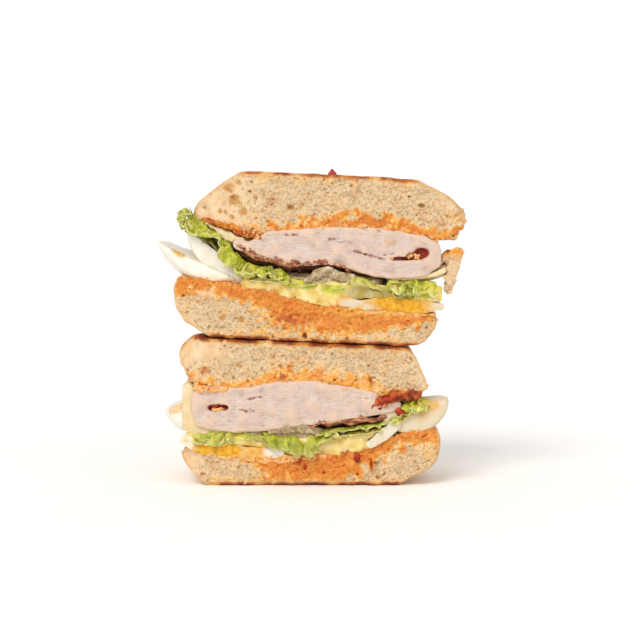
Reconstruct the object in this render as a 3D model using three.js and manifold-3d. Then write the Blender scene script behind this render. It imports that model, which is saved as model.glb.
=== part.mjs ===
// A ciabatta panini cut in two. The halves are stacked with their cut faces forward, and one pick pins them.
// Each half holds, from the bottom: bread, boiled egg, lettuce, pickle, bacon, cheese, folded turkey, bread.
// Units are millimetres, +Z is up, and the cut faces look along -Y.
import * as THREE from "three";
import { mergeVertices } from "three/addons/utils/BufferGeometryUtils.js";
import Module from "manifold-3d";

const wasm = await Module();
wasm.setup();

// ---- Driving dimensions -------------------------------------------------------------------------------

const HALF_DEPTH = 60; // from the cut face to the rounded end of the roll
const REACH = 60; // height curves run from -REACH, at the egg end, to +REACH, at the fold end
const LOWER_HEIGHT = 67.7; // of the lower half, at its middle
const UPPER_HEIGHT = 79; // of the upper half
const STACK_TILT = THREE.MathUtils.degToRad(2.5); // the lower half's top slopes, and the upper half lies on it
const GAP = 0.3; // left between pieces that touch
const ROUNDING_START = 0.6; // share of the depth where the roll's end starts to round off
const ROUNDING = 0.62; // how strongly it rounds

const TURKEY_FOLD = 6.6; // a folded bundle of turkey slices
const CHEESE_SLICE = 1.7;
const BACON_RASHER = 3;
const LEAF = 2.2;
const EGG_SLICE = 5.5;
const EGG_WEDGE = 8;
const PICKLE_SLICE = 3.4;
const TOMATO_STRIP = 2.8;
const TORN_CRUST = 5;
const DETAIL = 0.06; // surface detail finer than this is left out

const PICK_LENGTH = 118;
const PICK_RADIUS = 1.1;
const PICK_HEAD_RADIUS = 2.3;
const PICK_HEAD_HEIGHT = 3;

// ---- Materials ----------------------------------------------------------------------------------------

function food(color, roughness) {
  return new THREE.MeshStandardMaterial({ color, roughness, metalness: 0 });
}

const BREAD = food("#dcb587", 0.85);
const TURKEY = food("#e9d3c8", 0.5);
const EGG = food("#f4efe2", 0.4);
const CHEESE = food("#eedfae", 0.45);
const BACON = food("#8c4a38", 0.45);
const LETTUCE = food("#b3c552", 0.5);
const PICKLE = food("#a9ab87", 0.3);
const TOMATO = food("#b4512c", 0.4);
const PICK = food("#c01c22", 0.4);

// ---- Shaping ------------------------------------------------------------------------------------------

const { clamp, degToRad, lerp, smoothstep } = THREE.MathUtils;

// A smooth curve through evenly spaced values, read at a share from 0 to 1.
function smooth(values) {
  const curve = new THREE.SplineCurve(values.map((value, i) => new THREE.Vector2(i, value)));
  return (share) => curve.getPoint(clamp(share, 0, 1)).y;
}

// A height over the width, from evenly spaced heights between the egg end and the fold end.
function heights(...values) {
  const curve = smooth(values);
  return (x) => curve((x + REACH) / (2 * REACH));
}

// The outline of one end of a layer, as evenly spaced places from its underside to its top.
function endOutline(...values) {
  return smooth(values);
}

// Rounds the far end of a half: width and height draw in towards its middle, as on a roll.
function roundRollEnd(point, middle) {
  const past = clamp((point.y / HALF_DEPTH - ROUNDING_START) / (1 - ROUNDING_START), 0, 1.1);
  const draw = 1 - ROUNDING * (1 - Math.sqrt(1 - 0.8 * past * past));
  point.x *= draw;
  point.z = middle + (point.z - middle) * draw;
}

// Moves each point of a geometry to move(point) and rounds the roll's end.
function warped(geometry, middle, move) {
  const position = geometry.attributes.position;
  const point = new THREE.Vector3();
  for (let i = 0; i < position.count; i++) {
    point.fromBufferAttribute(position, i);
    const moved = move(point);
    roundRollEnd(moved, middle);
    position.setXYZ(i, moved.x, moved.y, moved.z);
  }
  return geometry;
}

// A unit box whose points are moved to place(across, depth, up), each from 0 to 1.
function warpedBox(segments, middle, place) {
  const box = new THREE.BoxGeometry(1, 1, 1, ...segments);
  return warped(box, middle, (p) => place(p.x + 0.5, p.y + 0.5, p.z + 0.5));
}

// A layer between two height curves and two end outlines. Every shape below is a function of swell,
// which says how far its surface moves out.
function layer({ under, over, eggEnd, foldEnd, back = HALF_DEPTH, segments = [16, 8, 4], middle }) {
  return (swell) =>
    warpedBox(segments, middle, (across, depth, up) => {
      const x = lerp(eggEnd(up) - swell, foldEnd(up) + swell, across);
      const y = lerp(-swell, back + swell, depth);
      const z = lerp(under(x) - swell, over(x) + swell, up);
      return new THREE.Vector3(x, y, z);
    });
}

// A slice that follows a path across the sandwich, given as [x, z] points, and runs back through the food.
// ends says how thick it is at its two ends, as shares of its thickness, and wave ruffles it.
function slice({ path, thickness, ends = [1, 1], front = 0, back = HALF_DEPTH - 3, steps = [12, 4], wave, middle }) {
  const curve = new THREE.CatmullRomCurve3(path.map(([x, z]) => new THREE.Vector3(x, 0, z)));
  return (swell) =>
    warpedBox([steps[0], steps[1], 1], middle, (along, depth, side) => {
      const point = curve.getPointAt(along);
      const tangent = curve.getTangentAt(along);
      const share = lerp(ends[0], 1, smoothstep(along, 0, 0.25)) * lerp(1, ends[1], smoothstep(along, 0.75, 1));
      const offset = (side - 0.5) * (thickness * share + 2 * swell);
      const lengthen = (2 * along - 1) * swell;
      point.x += tangent.x * lengthen - tangent.z * offset;
      point.z += tangent.z * lengthen + tangent.x * offset;
      point.y = lerp(front - swell, back + swell, depth);
      if (wave) point.z += wave.height * Math.sin(wave.across * along + wave.deep * depth) * (0.4 + 0.6 * depth);
      return point;
    });
}

// A round slice with softened edges, tilted towards its outer end and leaning towards the cut.
function roundSlice({ at, radius, thickness, long = 1, tilt = 0, lean = 0, sides = 20, middle }) {
  const turn = new THREE.Euler(degToRad(lean), degToRad(tilt), 0, "YXZ");
  return (swell) => {
    const r = radius + swell;
    const half = thickness / 2 + swell;
    const soft = Math.min(1.4, half * 0.5);
    const profile = [[0, -half], [r - soft, -half], [r, soft - half], [r, half - soft], [r - soft, half], [0, half]];
    const disc = new THREE.LatheGeometry(profile.map(([x, y]) => new THREE.Vector2(x, y)), sides);
    disc.rotateX(Math.PI / 2);
    return warped(disc, middle, (p) => {
      const point = new THREE.Vector3(p.x * long, p.y, p.z).applyEuler(turn);
      return point.add(new THREE.Vector3(...at));
    });
  };
}

// ---- Solids -------------------------------------------------------------------------------------------

function solidOf(geometry) {
  const bare = geometry.clone();
  bare.deleteAttribute("normal");
  bare.deleteAttribute("uv");
  const merged = mergeVertices(bare, 1e-4);
  const mesh = new wasm.Mesh({
    numProp: 3,
    vertProperties: merged.attributes.position.array,
    triVerts: new Uint32Array(merged.index.array),
  });
  return new wasm.Manifold(mesh);
}

function geometryOf(solid) {
  const mesh = solid.getMesh();
  const geometry = new THREE.BufferGeometry();
  geometry.setAttribute("position", new THREE.BufferAttribute(mesh.vertProperties, 3));
  geometry.setIndex(new THREE.BufferAttribute(mesh.triVerts, 1));
  geometry.computeVertexNormals();
  return geometry;
}

// asOriginal drops manifold-3d's record of the solids that went into this one, which would grow with each cut.
function largestOf(solid) {
  return solid.decompose().reduce((a, b) => (a.volume() > b.volume() ? a : b)).asOriginal();
}

// Everything in front of a plane at y.
function inFrontOf(y) {
  const size = 400;
  return solidOf(new THREE.BoxGeometry(size, size, size).translate(0, y - size / 2, 0));
}

// A half fills up in order: each piece gives way to the ones before it, with GAP to spare.
class Half {
  constructor(prefix, mirror, pickHole) {
    this.prefix = prefix;
    this.mirror = mirror;
    this.group = new THREE.Group();
    this.placed = pickHole;
    this.taken = pickHole;
  }

  facing(geometry) {
    if (this.mirror > 0) return geometry;
    const turned = geometry.scale(-1, 1, 1);
    const index = turned.index.array;
    for (let i = 0; i < index.length; i += 3) [index[i], index[i + 1]] = [index[i + 1], index[i]];
    return turned;
  }

  add(name, material, shape, front = 0) {
    const whole = solidOf(this.facing(shape(0))).subtract(inFrontOf(front));
    const fitted = whole.subtract(this.taken).asOriginal().simplify(DETAIL);
    const solid = largestOf(fitted.subtract(this.placed));
    this.placed = this.placed.add(solid).asOriginal();
    this.taken = this.taken.add(solid).add(solidOf(this.facing(shape(GAP)))).asOriginal();
    const mesh = new THREE.Mesh(geometryOf(solid), material);
    mesh.name = `${this.prefix}_${name}`;
    this.group.add(mesh);
  }
}

// ---- The pick -----------------------------------------------------------------------------------------

// A thin pointed stick with a small peaked red head, along -Z from its origin under the head.
function pickShape(swell) {
  const r = PICK_RADIUS + swell;
  const point = PICK_RADIUS * 4;
  const profile = [[0, -PICK_LENGTH - swell], [r, point - PICK_LENGTH], [r, swell ? PICK_HEAD_HEIGHT : 0]];
  if (!swell) profile.push([PICK_HEAD_RADIUS, 0], [PICK_HEAD_RADIUS * 0.8, PICK_HEAD_HEIGHT * 0.35]);
  profile.push([0, PICK_HEAD_HEIGHT + swell]);
  return new THREE.LatheGeometry(profile.map(([x, y]) => new THREE.Vector2(x, y)), 8).rotateX(Math.PI / 2);
}

// ---- The two halves -----------------------------------------------------------------------------------

function buildUpper(hole) {
  const half = new Half("upper", 1, hole);
  const middle = 39;
  const crumbTop = heights(28, 25.6, 23, 18.5, 17, 15.5, 15.4);
  const lidUnderside = heights(56, 52.7, 51.6, 54, 55, 54, 51);
  const pileSplit = heights(46, 46, 46.5, 47.5, 47, 44, 44);
  const wrapLine = heights(50, 46, 41.2, 39.8, 38, 35, 40);
  half.add("bread_bottom", BREAD, layer({
    under: heights(0, 0),
    over: crumbTop,
    eggEnd: endOutline(-49, -61, -67, -65.5),
    foldEnd: endOutline(51, 56, 58.5, 60),
    middle,
  }));
  half.add("bread_top", BREAD, layer({
    under: lidUnderside,
    over: heights(UPPER_HEIGHT, UPPER_HEIGHT, UPPER_HEIGHT, UPPER_HEIGHT - 1),
    eggEnd: endOutline(-60.5, -56.5, -48, -36.5),
    foldEnd: endOutline(63, 70.5, 65.5, 47),
    middle,
  }));
  half.add("turkey_wrap", TURKEY, slice({
    path: [[14, 52], [32, 51.4], [46, 49.7], [55, 46.8], [57, 42.6], [53.4, 38.2], [42.2, 34.9], [30.4, 35.4], [17, 38.5],
      [6.7, 40.4], [-7.4, 39.3], [-20.6, 41.1], [-31, 43], [-39, 45]],
    thickness: TURKEY_FOLD, ends: [1, 0.6], steps: [24, 3], middle,
  }));
  half.add("turkey_pile_high", TURKEY, layer({
    under: pileSplit,
    over: lidUnderside,
    eggEnd: endOutline(-30, -22),
    foldEnd: endOutline(13, 13),
    back: HALF_DEPTH - 6, segments: [8, 3, 1], middle,
  }));
  half.add("turkey_pile_low", TURKEY, layer({
    under: wrapLine,
    over: pileSplit,
    eggEnd: endOutline(-34, -30),
    foldEnd: endOutline(46, 44),
    back: HALF_DEPTH - 4, segments: [12, 3, 1], middle,
  }));
  half.add("egg_flat", EGG, roundSlice({
    at: [36.5, 4, 19.3], radius: 21.5, thickness: EGG_SLICE, long: 1.12, middle,
  }));
  half.add("egg_end", EGG, roundSlice({
    at: [-53.5, 8, 35.6], radius: 20.5, thickness: EGG_WEDGE, long: 1.08, tilt: 19.5, middle,
  }));
  half.add("egg_back", EGG, roundSlice({
    at: [-46, 38, 41], radius: 17, thickness: EGG_WEDGE, tilt: 38, middle,
  }));
  half.add("cheese_fold_end", CHEESE, slice({
    path: [[14, 33.8], [28, 31.2], [40, 30], [49.4, 31.5], [58.7, 35.2], [65, 37.8]],
    thickness: CHEESE_SLICE, back: HALF_DEPTH + 1, steps: [8, 4], middle,
  }));
  half.add("tomato_strip", TOMATO, slice({
    path: [[-53.5, 54.8], [-44.6, 51.8], [-36, 50], [-27, 48.6]],
    thickness: TOMATO_STRIP, back: 26, steps: [6, 3], middle,
  }));
  half.add("cheese_egg_end", CHEESE, slice({
    path: [[-54, 52.4], [-44.6, 48.4], [-36, 42], [-24, 36.8], [-12, 34.4]],
    thickness: CHEESE_SLICE, back: HALF_DEPTH - 1, steps: [8, 4], middle,
  }));
  half.add("bacon", BACON, slice({
    path: [[-40, 42], [-31, 37.6], [-21, 35.2], [-11, 34], [3, 34.4]],
    thickness: BACON_RASHER, back: HALF_DEPTH - 14, steps: [14, 3], wave: { height: 0.7, across: 19, deep: 3 }, middle,
  }));
  half.add("pickle_high", PICKLE, roundSlice({
    at: [5, 10, 32.4], radius: 12.5, thickness: PICKLE_SLICE, tilt: -5, lean: -3, sides: 16, middle,
  }));
  half.add("pickle_low", PICKLE, roundSlice({
    at: [23, 28, 29.6], radius: 13, thickness: PICKLE_SLICE, tilt: 6, lean: 3, sides: 16, middle,
  }));
  half.add("lettuce_high", LETTUCE, slice({
    path: [[-63.5, 58.5], [-58.5, 53.5], [-52.1, 49.5], [-47.1, 44.2], [-38.8, 38], [-30.1, 32.7], [-13.5, 30.3], [6, 29.2]],
    thickness: LEAF, ends: [2, 0.8], front: -1.5, back: HALF_DEPTH + 3, steps: [14, 5],
    wave: { height: 0.9, across: 24, deep: 7 }, middle,
  }), -1.5);
  half.add("lettuce_low", LETTUCE, layer({
    under: (x) => crumbTop(x) - 1,
    over: heights(30, 28.5, 28.5, 28.2, 27.6, 27.2, 27.6),
    eggEnd: endOutline(-32, -36),
    foldEnd: endOutline(60, 59),
    back: HALF_DEPTH + 1, segments: [12, 4, 1], middle,
  }));
  half.add("torn_crust", BREAD, slice({
    path: [[61.5, 43.5], [66.3, 45.5], [68.4, 39], [67.2, 32.3], [65, 26.5]],
    thickness: TORN_CRUST, front: 3, back: 24, steps: [8, 3], middle,
  }));
  half.group.rotation.y = STACK_TILT;
  half.group.position.z = LOWER_HEIGHT + GAP;
  return half.group;
}

function buildLower(hole) {
  const half = new Half("lower", -1, hole);
  const middle = 34;
  const crumbTop = heights(27.7, 23.5, 16, 14.1, 12.2, 13.2, 17.4);
  const lidUnderside = heights(44.4, 43.2, 46.3, 49.8, 48.9, 45.6, 48.9);
  const pileSplit = heights(40, 40, 41, 42, 42, 40, 40);
  const wrapLine = heights(40, 37.4, 35, 32.7, 29.6, 29, 32);
  half.add("bread_bottom", BREAD, layer({
    under: heights(0, 0),
    over: crumbTop,
    eggEnd: endOutline(-40, -58, -61, -60),
    foldEnd: endOutline(50.5, 56.5, 61.5, 62.5),
    middle,
  }));
  half.add("bread_top", BREAD, layer({
    under: lidUnderside,
    over: (x) => LOWER_HEIGHT + Math.tan(STACK_TILT) * x,
    eggEnd: endOutline(-57, -52.8, -50.5, -46),
    foldEnd: endOutline(58, 60.5, 64.3, 57),
    middle,
  }));
  half.add("turkey_wrap", TURKEY, slice({
    path: [[8, 46.2], [21, 45.6], [30, 43.8], [38, 41.8], [46, 43], [52.4, 38.5], [51.2, 32.4], [41, 29], [23.5, 29.3],
      [5.6, 32], [-13.2, 34.2], [-30.1, 36.2], [-41.4, 37.8]],
    thickness: TURKEY_FOLD, ends: [1, 0.7], steps: [24, 3], middle,
  }));
  half.add("turkey_pile_high", TURKEY, layer({
    under: pileSplit,
    over: lidUnderside,
    eggEnd: endOutline(-34, -29),
    foldEnd: endOutline(7, 7),
    back: HALF_DEPTH - 6, segments: [8, 3, 1], middle,
  }));
  half.add("turkey_pile_low", TURKEY, layer({
    under: wrapLine,
    over: pileSplit,
    eggEnd: endOutline(-37, -35),
    foldEnd: endOutline(43, 41),
    back: HALF_DEPTH - 4, segments: [12, 3, 1], middle,
  }));
  half.add("egg_flat", EGG, roundSlice({
    at: [37, 4, 16.6], radius: 21.5, thickness: EGG_SLICE, long: 1.12, tilt: -3, middle,
  }));
  half.add("egg_end", EGG, roundSlice({
    at: [-50.5, 8, 33], radius: 15, thickness: EGG_WEDGE, long: 1.05, tilt: 21, lean: 12, middle,
  }));
  half.add("egg_strip", EGG, slice({
    path: [[-26.5, 20], [-33, 24.4], [-39, 29.4]],
    thickness: EGG_SLICE - 1, back: 16, steps: [5, 3], middle,
  }));
  half.add("egg_side", EGG, roundSlice({
    at: [60.5, 20, 33], radius: 10, thickness: EGG_WEDGE, tilt: -12, lean: 8, sides: 16, middle,
  }));
  half.add("cheese_fold_end", CHEESE, slice({
    path: [[59.2, 48], [58.6, 40.9], [58, 31.5], [54.5, 25.6], [45.6, 24.4], [30, 24.6]],
    thickness: CHEESE_SLICE, back: HALF_DEPTH - 4, steps: [12, 4], middle,
  }));
  half.add("tomato_strip", TOMATO, slice({
    path: [[-29, 40.4], [-38, 41], [-48, 42.4]],
    thickness: TOMATO_STRIP, back: 22, steps: [6, 3], middle,
  }));
  half.add("bacon", BACON, slice({
    path: [[1, 28], [-10, 28.8], [-20, 30], [-33, 32.4]],
    thickness: BACON_RASHER, back: HALF_DEPTH - 12, steps: [12, 3], wave: { height: 0.6, across: 17, deep: 3 }, middle,
  }));
  half.add("pickle_high", PICKLE, roundSlice({
    at: [9.5, 10, 26.2], radius: 12.5, thickness: PICKLE_SLICE, tilt: 3, lean: -2, sides: 16, middle,
  }));
  half.add("pickle_low", PICKLE, roundSlice({
    at: [23, 30, 24.6], radius: 12.5, thickness: PICKLE_SLICE, tilt: -2, lean: 2, sides: 16, middle,
  }));
  half.add("lettuce_high", LETTUCE, slice({
    path: [[-52, 40], [-45, 35.8], [-39.5, 31.5], [-31, 28.6], [-22.6, 26], [-10.8, 24.6], [5.6, 22.8], [22, 22.4]],
    thickness: LEAF, front: -1.5, back: HALF_DEPTH + 3, steps: [14, 5], wave: { height: 0.8, across: 22, deep: 7 }, middle,
  }), -1.5);
  half.add("lettuce_low", LETTUCE, layer({
    under: (x) => crumbTop(x) - 1,
    over: heights(28, 27, 23.6, 21.6, 21.4, 22.6, 24),
    eggEnd: endOutline(-30, -32),
    foldEnd: endOutline(60, 59),
    back: HALF_DEPTH + 1, segments: [12, 4, 1], middle,
  }));
  return half.group;
}

// ---- Assembly -----------------------------------------------------------------------------------------

const PICK_AT = new THREE.Vector3(9.5, HALF_DEPTH * 0.4, LOWER_HEIGHT + GAP + UPPER_HEIGHT);

// The pick's swollen shape in a half's own frame, for the hole that it makes.
function pickHole(tilt, lift) {
  const toHalf = new THREE.Matrix4().makeRotationY(tilt).setPosition(0, 0, lift).invert();
  return solidOf(pickShape(GAP).translate(...PICK_AT).applyMatrix4(toHalf));
}

const panini = new THREE.Group();
panini.add(buildLower(pickHole(0, 0)));
panini.add(buildUpper(pickHole(STACK_TILT, LOWER_HEIGHT + GAP)));

const pick = new THREE.Mesh(pickShape(0), PICK);
pick.name = "pick";
pick.position.copy(PICK_AT);
panini.add(pick);

// The origin is at the middle of the base.
panini.updateMatrixWorld(true);
const bounds = new THREE.Box3().setFromObject(panini, true);
const centre = bounds.getCenter(new THREE.Vector3());
panini.position.set(-centre.x, -centre.y, -bounds.min.z);

export default panini;
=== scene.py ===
"""A ciabatta panini cut in two, its halves stacked with their cut faces forward and pinned by a pick.

Each half holds bread, boiled egg, lettuce, pickle, bacon, cheese, folded turkey and bread, with orange sauce
in the crumb. Shapes are worked out in millimetres and made in metres. The cut faces look along -Y.
"""
from functools import partial

import bpy
import numpy as np
import openvdb
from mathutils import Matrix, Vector


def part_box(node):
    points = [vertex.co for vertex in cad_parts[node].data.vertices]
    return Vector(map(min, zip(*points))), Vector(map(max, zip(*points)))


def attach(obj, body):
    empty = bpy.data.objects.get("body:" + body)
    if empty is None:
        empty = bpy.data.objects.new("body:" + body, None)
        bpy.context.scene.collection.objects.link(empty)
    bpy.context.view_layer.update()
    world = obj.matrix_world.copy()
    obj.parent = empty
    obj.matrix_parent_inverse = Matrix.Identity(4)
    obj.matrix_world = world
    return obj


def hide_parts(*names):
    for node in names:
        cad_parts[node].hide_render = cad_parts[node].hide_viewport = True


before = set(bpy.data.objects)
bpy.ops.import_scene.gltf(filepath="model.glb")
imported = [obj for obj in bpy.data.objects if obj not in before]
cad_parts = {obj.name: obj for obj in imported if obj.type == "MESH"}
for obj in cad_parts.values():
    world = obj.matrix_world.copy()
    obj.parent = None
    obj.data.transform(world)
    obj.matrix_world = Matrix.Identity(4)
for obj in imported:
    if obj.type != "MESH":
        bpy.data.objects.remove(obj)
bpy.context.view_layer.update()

# ---- Where things are ---------------------------------------------------------------------------------

MM = 0.001  # one millimetre in Blender's metres


def corners(node):
    """A node's lowest and highest corners in millimetres."""
    low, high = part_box(node)
    return np.array(low) / MM, np.array(high) / MM


PICK_X = 9.5  # the pick's place across the halves' own frame
STACK_TILT = np.radians(2.5)  # the upper half leans over the lower one by this
LOWER_HEIGHT = 68.0  # the upper half's own frame starts at this height

CUT = corners("upper_bread_top")[0][1]  # the cut faces' place along Y
MIDDLE_X = np.mean([c[0] for c in corners("pick")]) - PICK_X


def placed(half, x, z):
    """A place in a half's own frame, as X and Z of the whole panini."""
    x, z = np.asarray(x, float), np.asarray(z, float)
    if half == "upper":
        cos, sin = np.cos(STACK_TILT), np.sin(STACK_TILT)
        x, z = x * cos + z * sin, z * cos - x * sin + LOWER_HEIGHT
    return x + MIDDLE_X, z


def own(half, x, z):
    """X and Z of the whole panini, as across and up in a half's own frame."""
    x = x - MIDDLE_X
    if half == "upper":
        cos, sin = np.cos(STACK_TILT), np.sin(STACK_TILT)
        z = z - LOWER_HEIGHT
        x, z = x * cos - z * sin, x * sin + z * cos
    return x + 0 * z, z + 0 * x


# ---- Numbers ------------------------------------------------------------------------------------------

CURVE_STEPS = 400  # in a whole curve
PATH_STEPS = 24  # between two points of a path


def ramp(value, start, end):
    """0 at start, 1 at end, with a soft run between them."""
    t = np.clip((value - start) / (end - start), 0, 1)
    return t * t * (3 - 2 * t)


def smoothed(values, width):
    """Values averaged with their neighbours, up to width away."""
    count = 2 * width + 1
    return np.convolve(np.pad(values, width, mode="edge"), np.ones(count) / count, mode="valid")


def curve_through(values, low, high):
    """A smooth curve through values that are evenly spaced between low and high."""
    fine = np.linspace(low, high, CURVE_STEPS)
    steps = np.interp(fine, np.linspace(low, high, len(values)), values)
    soft = smoothed(steps, max(CURVE_STEPS // (2 * len(values)), 1))
    return lambda x: np.interp(x, fine, soft)


def smooth_path(points, count):
    """Evenly spaced places along a smooth path through the points."""
    points = np.asarray(points, float)
    padded = np.vstack([2 * points[0] - points[1], points, 2 * points[-1] - points[-2]])
    parts = []
    t = np.linspace(0, 1, PATH_STEPS, endpoint=False)[:, None]
    for a, b, c, d in zip(padded, padded[1:], padded[2:], padded[3:]):
        parts.append(b + 0.5 * t * (c - a + t * (2 * a - 5 * b + 4 * c - d + t * (3 * (b - c) + d - a))))
    dense = np.vstack(parts + [points[-1:]])
    length = np.concatenate([[0], np.cumsum(np.linalg.norm(np.diff(dense, axis=0), axis=1))])
    even = np.linspace(0, length[-1], count)
    return np.stack([np.interp(even, length, dense[:, i]) for i in range(dense.shape[1])], axis=1)


def bumps(shape, cell, size, seed, spread=0.45):
    """Seeded soft bumps about size mm across, over a grid of cells. They vary by about 1 either way."""
    wild = np.random.default_rng(seed).standard_normal(shape).astype(np.float32)
    waves = [np.fft.fftfreq(n, cell) for n in shape[:-1]] + [np.fft.rfftfreq(shape[-1], cell)]
    rate = np.sqrt(sum(w * w for w in np.meshgrid(*waves, indexing="ij", sparse=True))) * size
    kept = np.fft.rfftn(wild) * np.exp(-(((rate - 1) / spread) ** 2))
    made = np.fft.irfftn(kept, s=shape).astype(np.float32)
    return made / made.std()


# ---- Solids as blocks of small cells ------------------------------------------------------------------

BREAD_CELL, FILLING_CELL, EGG_CELL, SLICE_CELL, LUMP_CELL = 0.55, 0.5, 0.45, 0.4, 0.35  # mm
ROOM = 6  # empty cells round a solid
FAR = 6.0  # distances are kept up to this many mm
FINE, MEDIUM, COARSE = 0.02, 0.1, 0.2  # how far faces are merged where a surface is nearly flat


class Block:
    """A solid on a grid of small cells. Each cell holds its distance from the surface, negative inside."""

    def __init__(self, cell, nodes=(), box=None):
        self.cell = cell
        meshes = [self.triangles(node) for node in nodes]
        if box is None:
            box = np.min([p.min(0) for p, _ in meshes], axis=0), np.max([p.max(0) for p, _ in meshes], axis=0)
        self.low = np.floor(np.asarray(box[0]) / cell).astype(int) - ROOM
        high = np.ceil(np.asarray(box[1]) / cell).astype(int) + ROOM
        self.depth = np.full(high - self.low + 1, FAR, np.float32)
        for points, triangles in meshes:
            self.depth = np.minimum(self.depth, self.distances(points, triangles))
        places = [(np.arange(n) + first) * cell for n, first in zip(self.depth.shape, self.low)]
        self.x, self.y, self.z = np.meshgrid(
            *[p.astype(np.float32) for p in places], indexing="ij", sparse=True
        )

    def distances(self, points, triangles, quads=None):
        """How far each cell is from a closed surface, up to FAR."""
        line = openvdb.createLinearTransform(voxelSize=self.cell)
        quads = np.zeros((0, 4), np.uint32) if quads is None else quads
        grid = openvdb.FloatGrid.createLevelSetFromPolygons(
            points.astype(np.float32), triangles=triangles, quads=quads, transform=line,
            halfWidth=FAR / self.cell
        )
        held = np.empty_like(self.depth)
        grid.copyToArray(held, ijk=tuple(int(i) for i in self.low))
        return held

    def grow(self, width):
        """Moves the surface out by width mm."""
        self.depth = self.depth - width

    def close(self, width):
        """Fills gaps narrower than twice width mm."""
        self.depth -= width
        self.depth = self.distances(*self.surface(least=0)) + width

    @staticmethod
    def triangles(node):
        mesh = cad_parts[node].data
        mesh.calc_loop_triangles()
        points = np.empty(len(mesh.vertices) * 3, np.float32)
        mesh.vertices.foreach_get("co", points)
        faces = np.empty(len(mesh.loop_triangles) * 3, np.int32)
        mesh.loop_triangles.foreach_get("vertices", faces)
        return points.reshape(-1, 3) / MM, faces.reshape(-1, 3).astype(np.uint32)

    def bumps(self, size, seed):
        """Soft bumps about size mm across, all through the grid."""
        return bumps(self.depth.shape, self.cell, size, seed)

    def front_bumps(self, size, seed):
        """Soft bumps about size mm across, over the grid seen from the front."""
        return bumps(self.depth[:, 0].shape, self.cell, size, seed)

    def own(self, half):
        """The across and up places of the grid seen from the front, in a half's own frame."""
        return own(half, self.x[:, 0, :], self.z[0, :, :])

    def run_through(self, behind=6):
        """Carries the outline found a little behind the cut straight out to the front."""
        at = int(round((CUT + behind) / self.cell)) - self.low[1]
        self.depth[:, :at] = self.depth[:, at : at + 1]

    def soften(self, width):
        """Rounds off edges by about width mm."""
        reach = max(int(2.2 * width / self.cell), 1)
        weights = np.exp(-0.5 * (np.arange(-reach, reach + 1) * self.cell / width) ** 2).astype(np.float32)
        weights /= weights.sum()
        for axis in range(3):
            padding = [(reach, reach) if i == axis else (0, 0) for i in range(3)]
            wide = np.pad(self.depth, padding, mode="edge")
            n = self.depth.shape[axis]
            self.depth = sum(w * wide.take(range(i, i + n), axis=axis) for i, w in enumerate(weights))

    def cut(self, relief):
        """Cuts the front off, along a face that stands relief mm behind the cut plane."""
        relief = np.asarray(relief, np.float32)
        self.depth = np.maximum(self.depth, CUT + relief[:, None, :] - self.y)

    def hollow(self, at, radius):
        """Takes an egg-shaped hollow out of the solid. radius is its reach along each axis."""
        at, radius = np.asarray(at, float), np.asarray(radius, float)
        first = np.maximum(np.floor((at - radius) / self.cell).astype(int) - self.low - 1, 0)
        last = np.minimum(np.ceil((at + radius) / self.cell).astype(int) - self.low + 2, self.depth.shape)
        if np.any(first >= last):
            return
        part = tuple(slice(a, b) for a, b in zip(first, last))
        steps = [
            (axis.reshape(-1)[p] - c) / r for axis, p, c, r in zip((self.x, self.y, self.z), part, at, radius)
        ]
        far = np.sqrt(
            steps[0][:, None, None] ** 2 + steps[1][None, :, None] ** 2 + steps[2][None, None, :] ** 2
        )
        self.depth[part] = np.maximum(self.depth[part], (1 - far) * radius.min())

    def lump(self, at, radius):
        """Adds an egg-shaped lump to the solid."""
        self.depth *= -1
        self.hollow(at, radius)
        self.depth *= -1

    def read(self, values, points):
        """The values of a grid like this one at places in mm, or of a front-on picture of it."""
        values = np.asarray(values, np.float32)
        if values.ndim == 2:
            values = values[:, None, :]
        share = points / self.cell - self.low
        share = np.clip(share, 0, np.array(values.shape) - 1.001)
        first = share.astype(int)
        part = share - first
        found = 0
        for corner in np.ndindex(2, 2, 2):
            index = [np.minimum(first[:, i] + corner[i], values.shape[i] - 1) for i in range(3)]
            weight = np.prod([part[:, i] if corner[i] else 1 - part[:, i] for i in range(3)], axis=0)
            found = found + weight * values[tuple(index)]
        return found

    def surface(self, merged=0.0, least=0.03):
        """The surface as points in mm, triangles and quads. merged is how far faces are merged where it is
        nearly flat. Loose parts with less than a share least of the points are left out."""
        grid = openvdb.FloatGrid(FAR)
        grid.copyFromArray(
            np.ascontiguousarray(self.depth), ijk=tuple(int(i) for i in self.low), tolerance=0.0
        )
        grid.transform = openvdb.createLinearTransform(voxelSize=self.cell)
        points, triangles, quads = grid.convertToPolygons(isovalue=0.0, adaptivity=merged)
        sides = np.concatenate(
            [faces[:, [i, i - 1]] for faces in (triangles, quads) for i in range(1, faces.shape[1])]
        )
        part = np.arange(len(points))  # each point takes the lowest number among those it is joined to
        before = None
        while not np.array_equal(part, before):
            before = part.copy()
            ends = part[sides]
            for i in (0, 1):
                np.minimum.at(part, ends[:, i], ends.min(axis=1))
            part = part[part]
        kept = np.bincount(part)[part] >= least * len(points)
        place = (np.cumsum(kept) - 1).astype(np.uint32)
        triangles, quads = (place[faces[kept[faces[:, 0]]]] for faces in (triangles, quads))
        return points[kept].astype(float), triangles, quads


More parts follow.
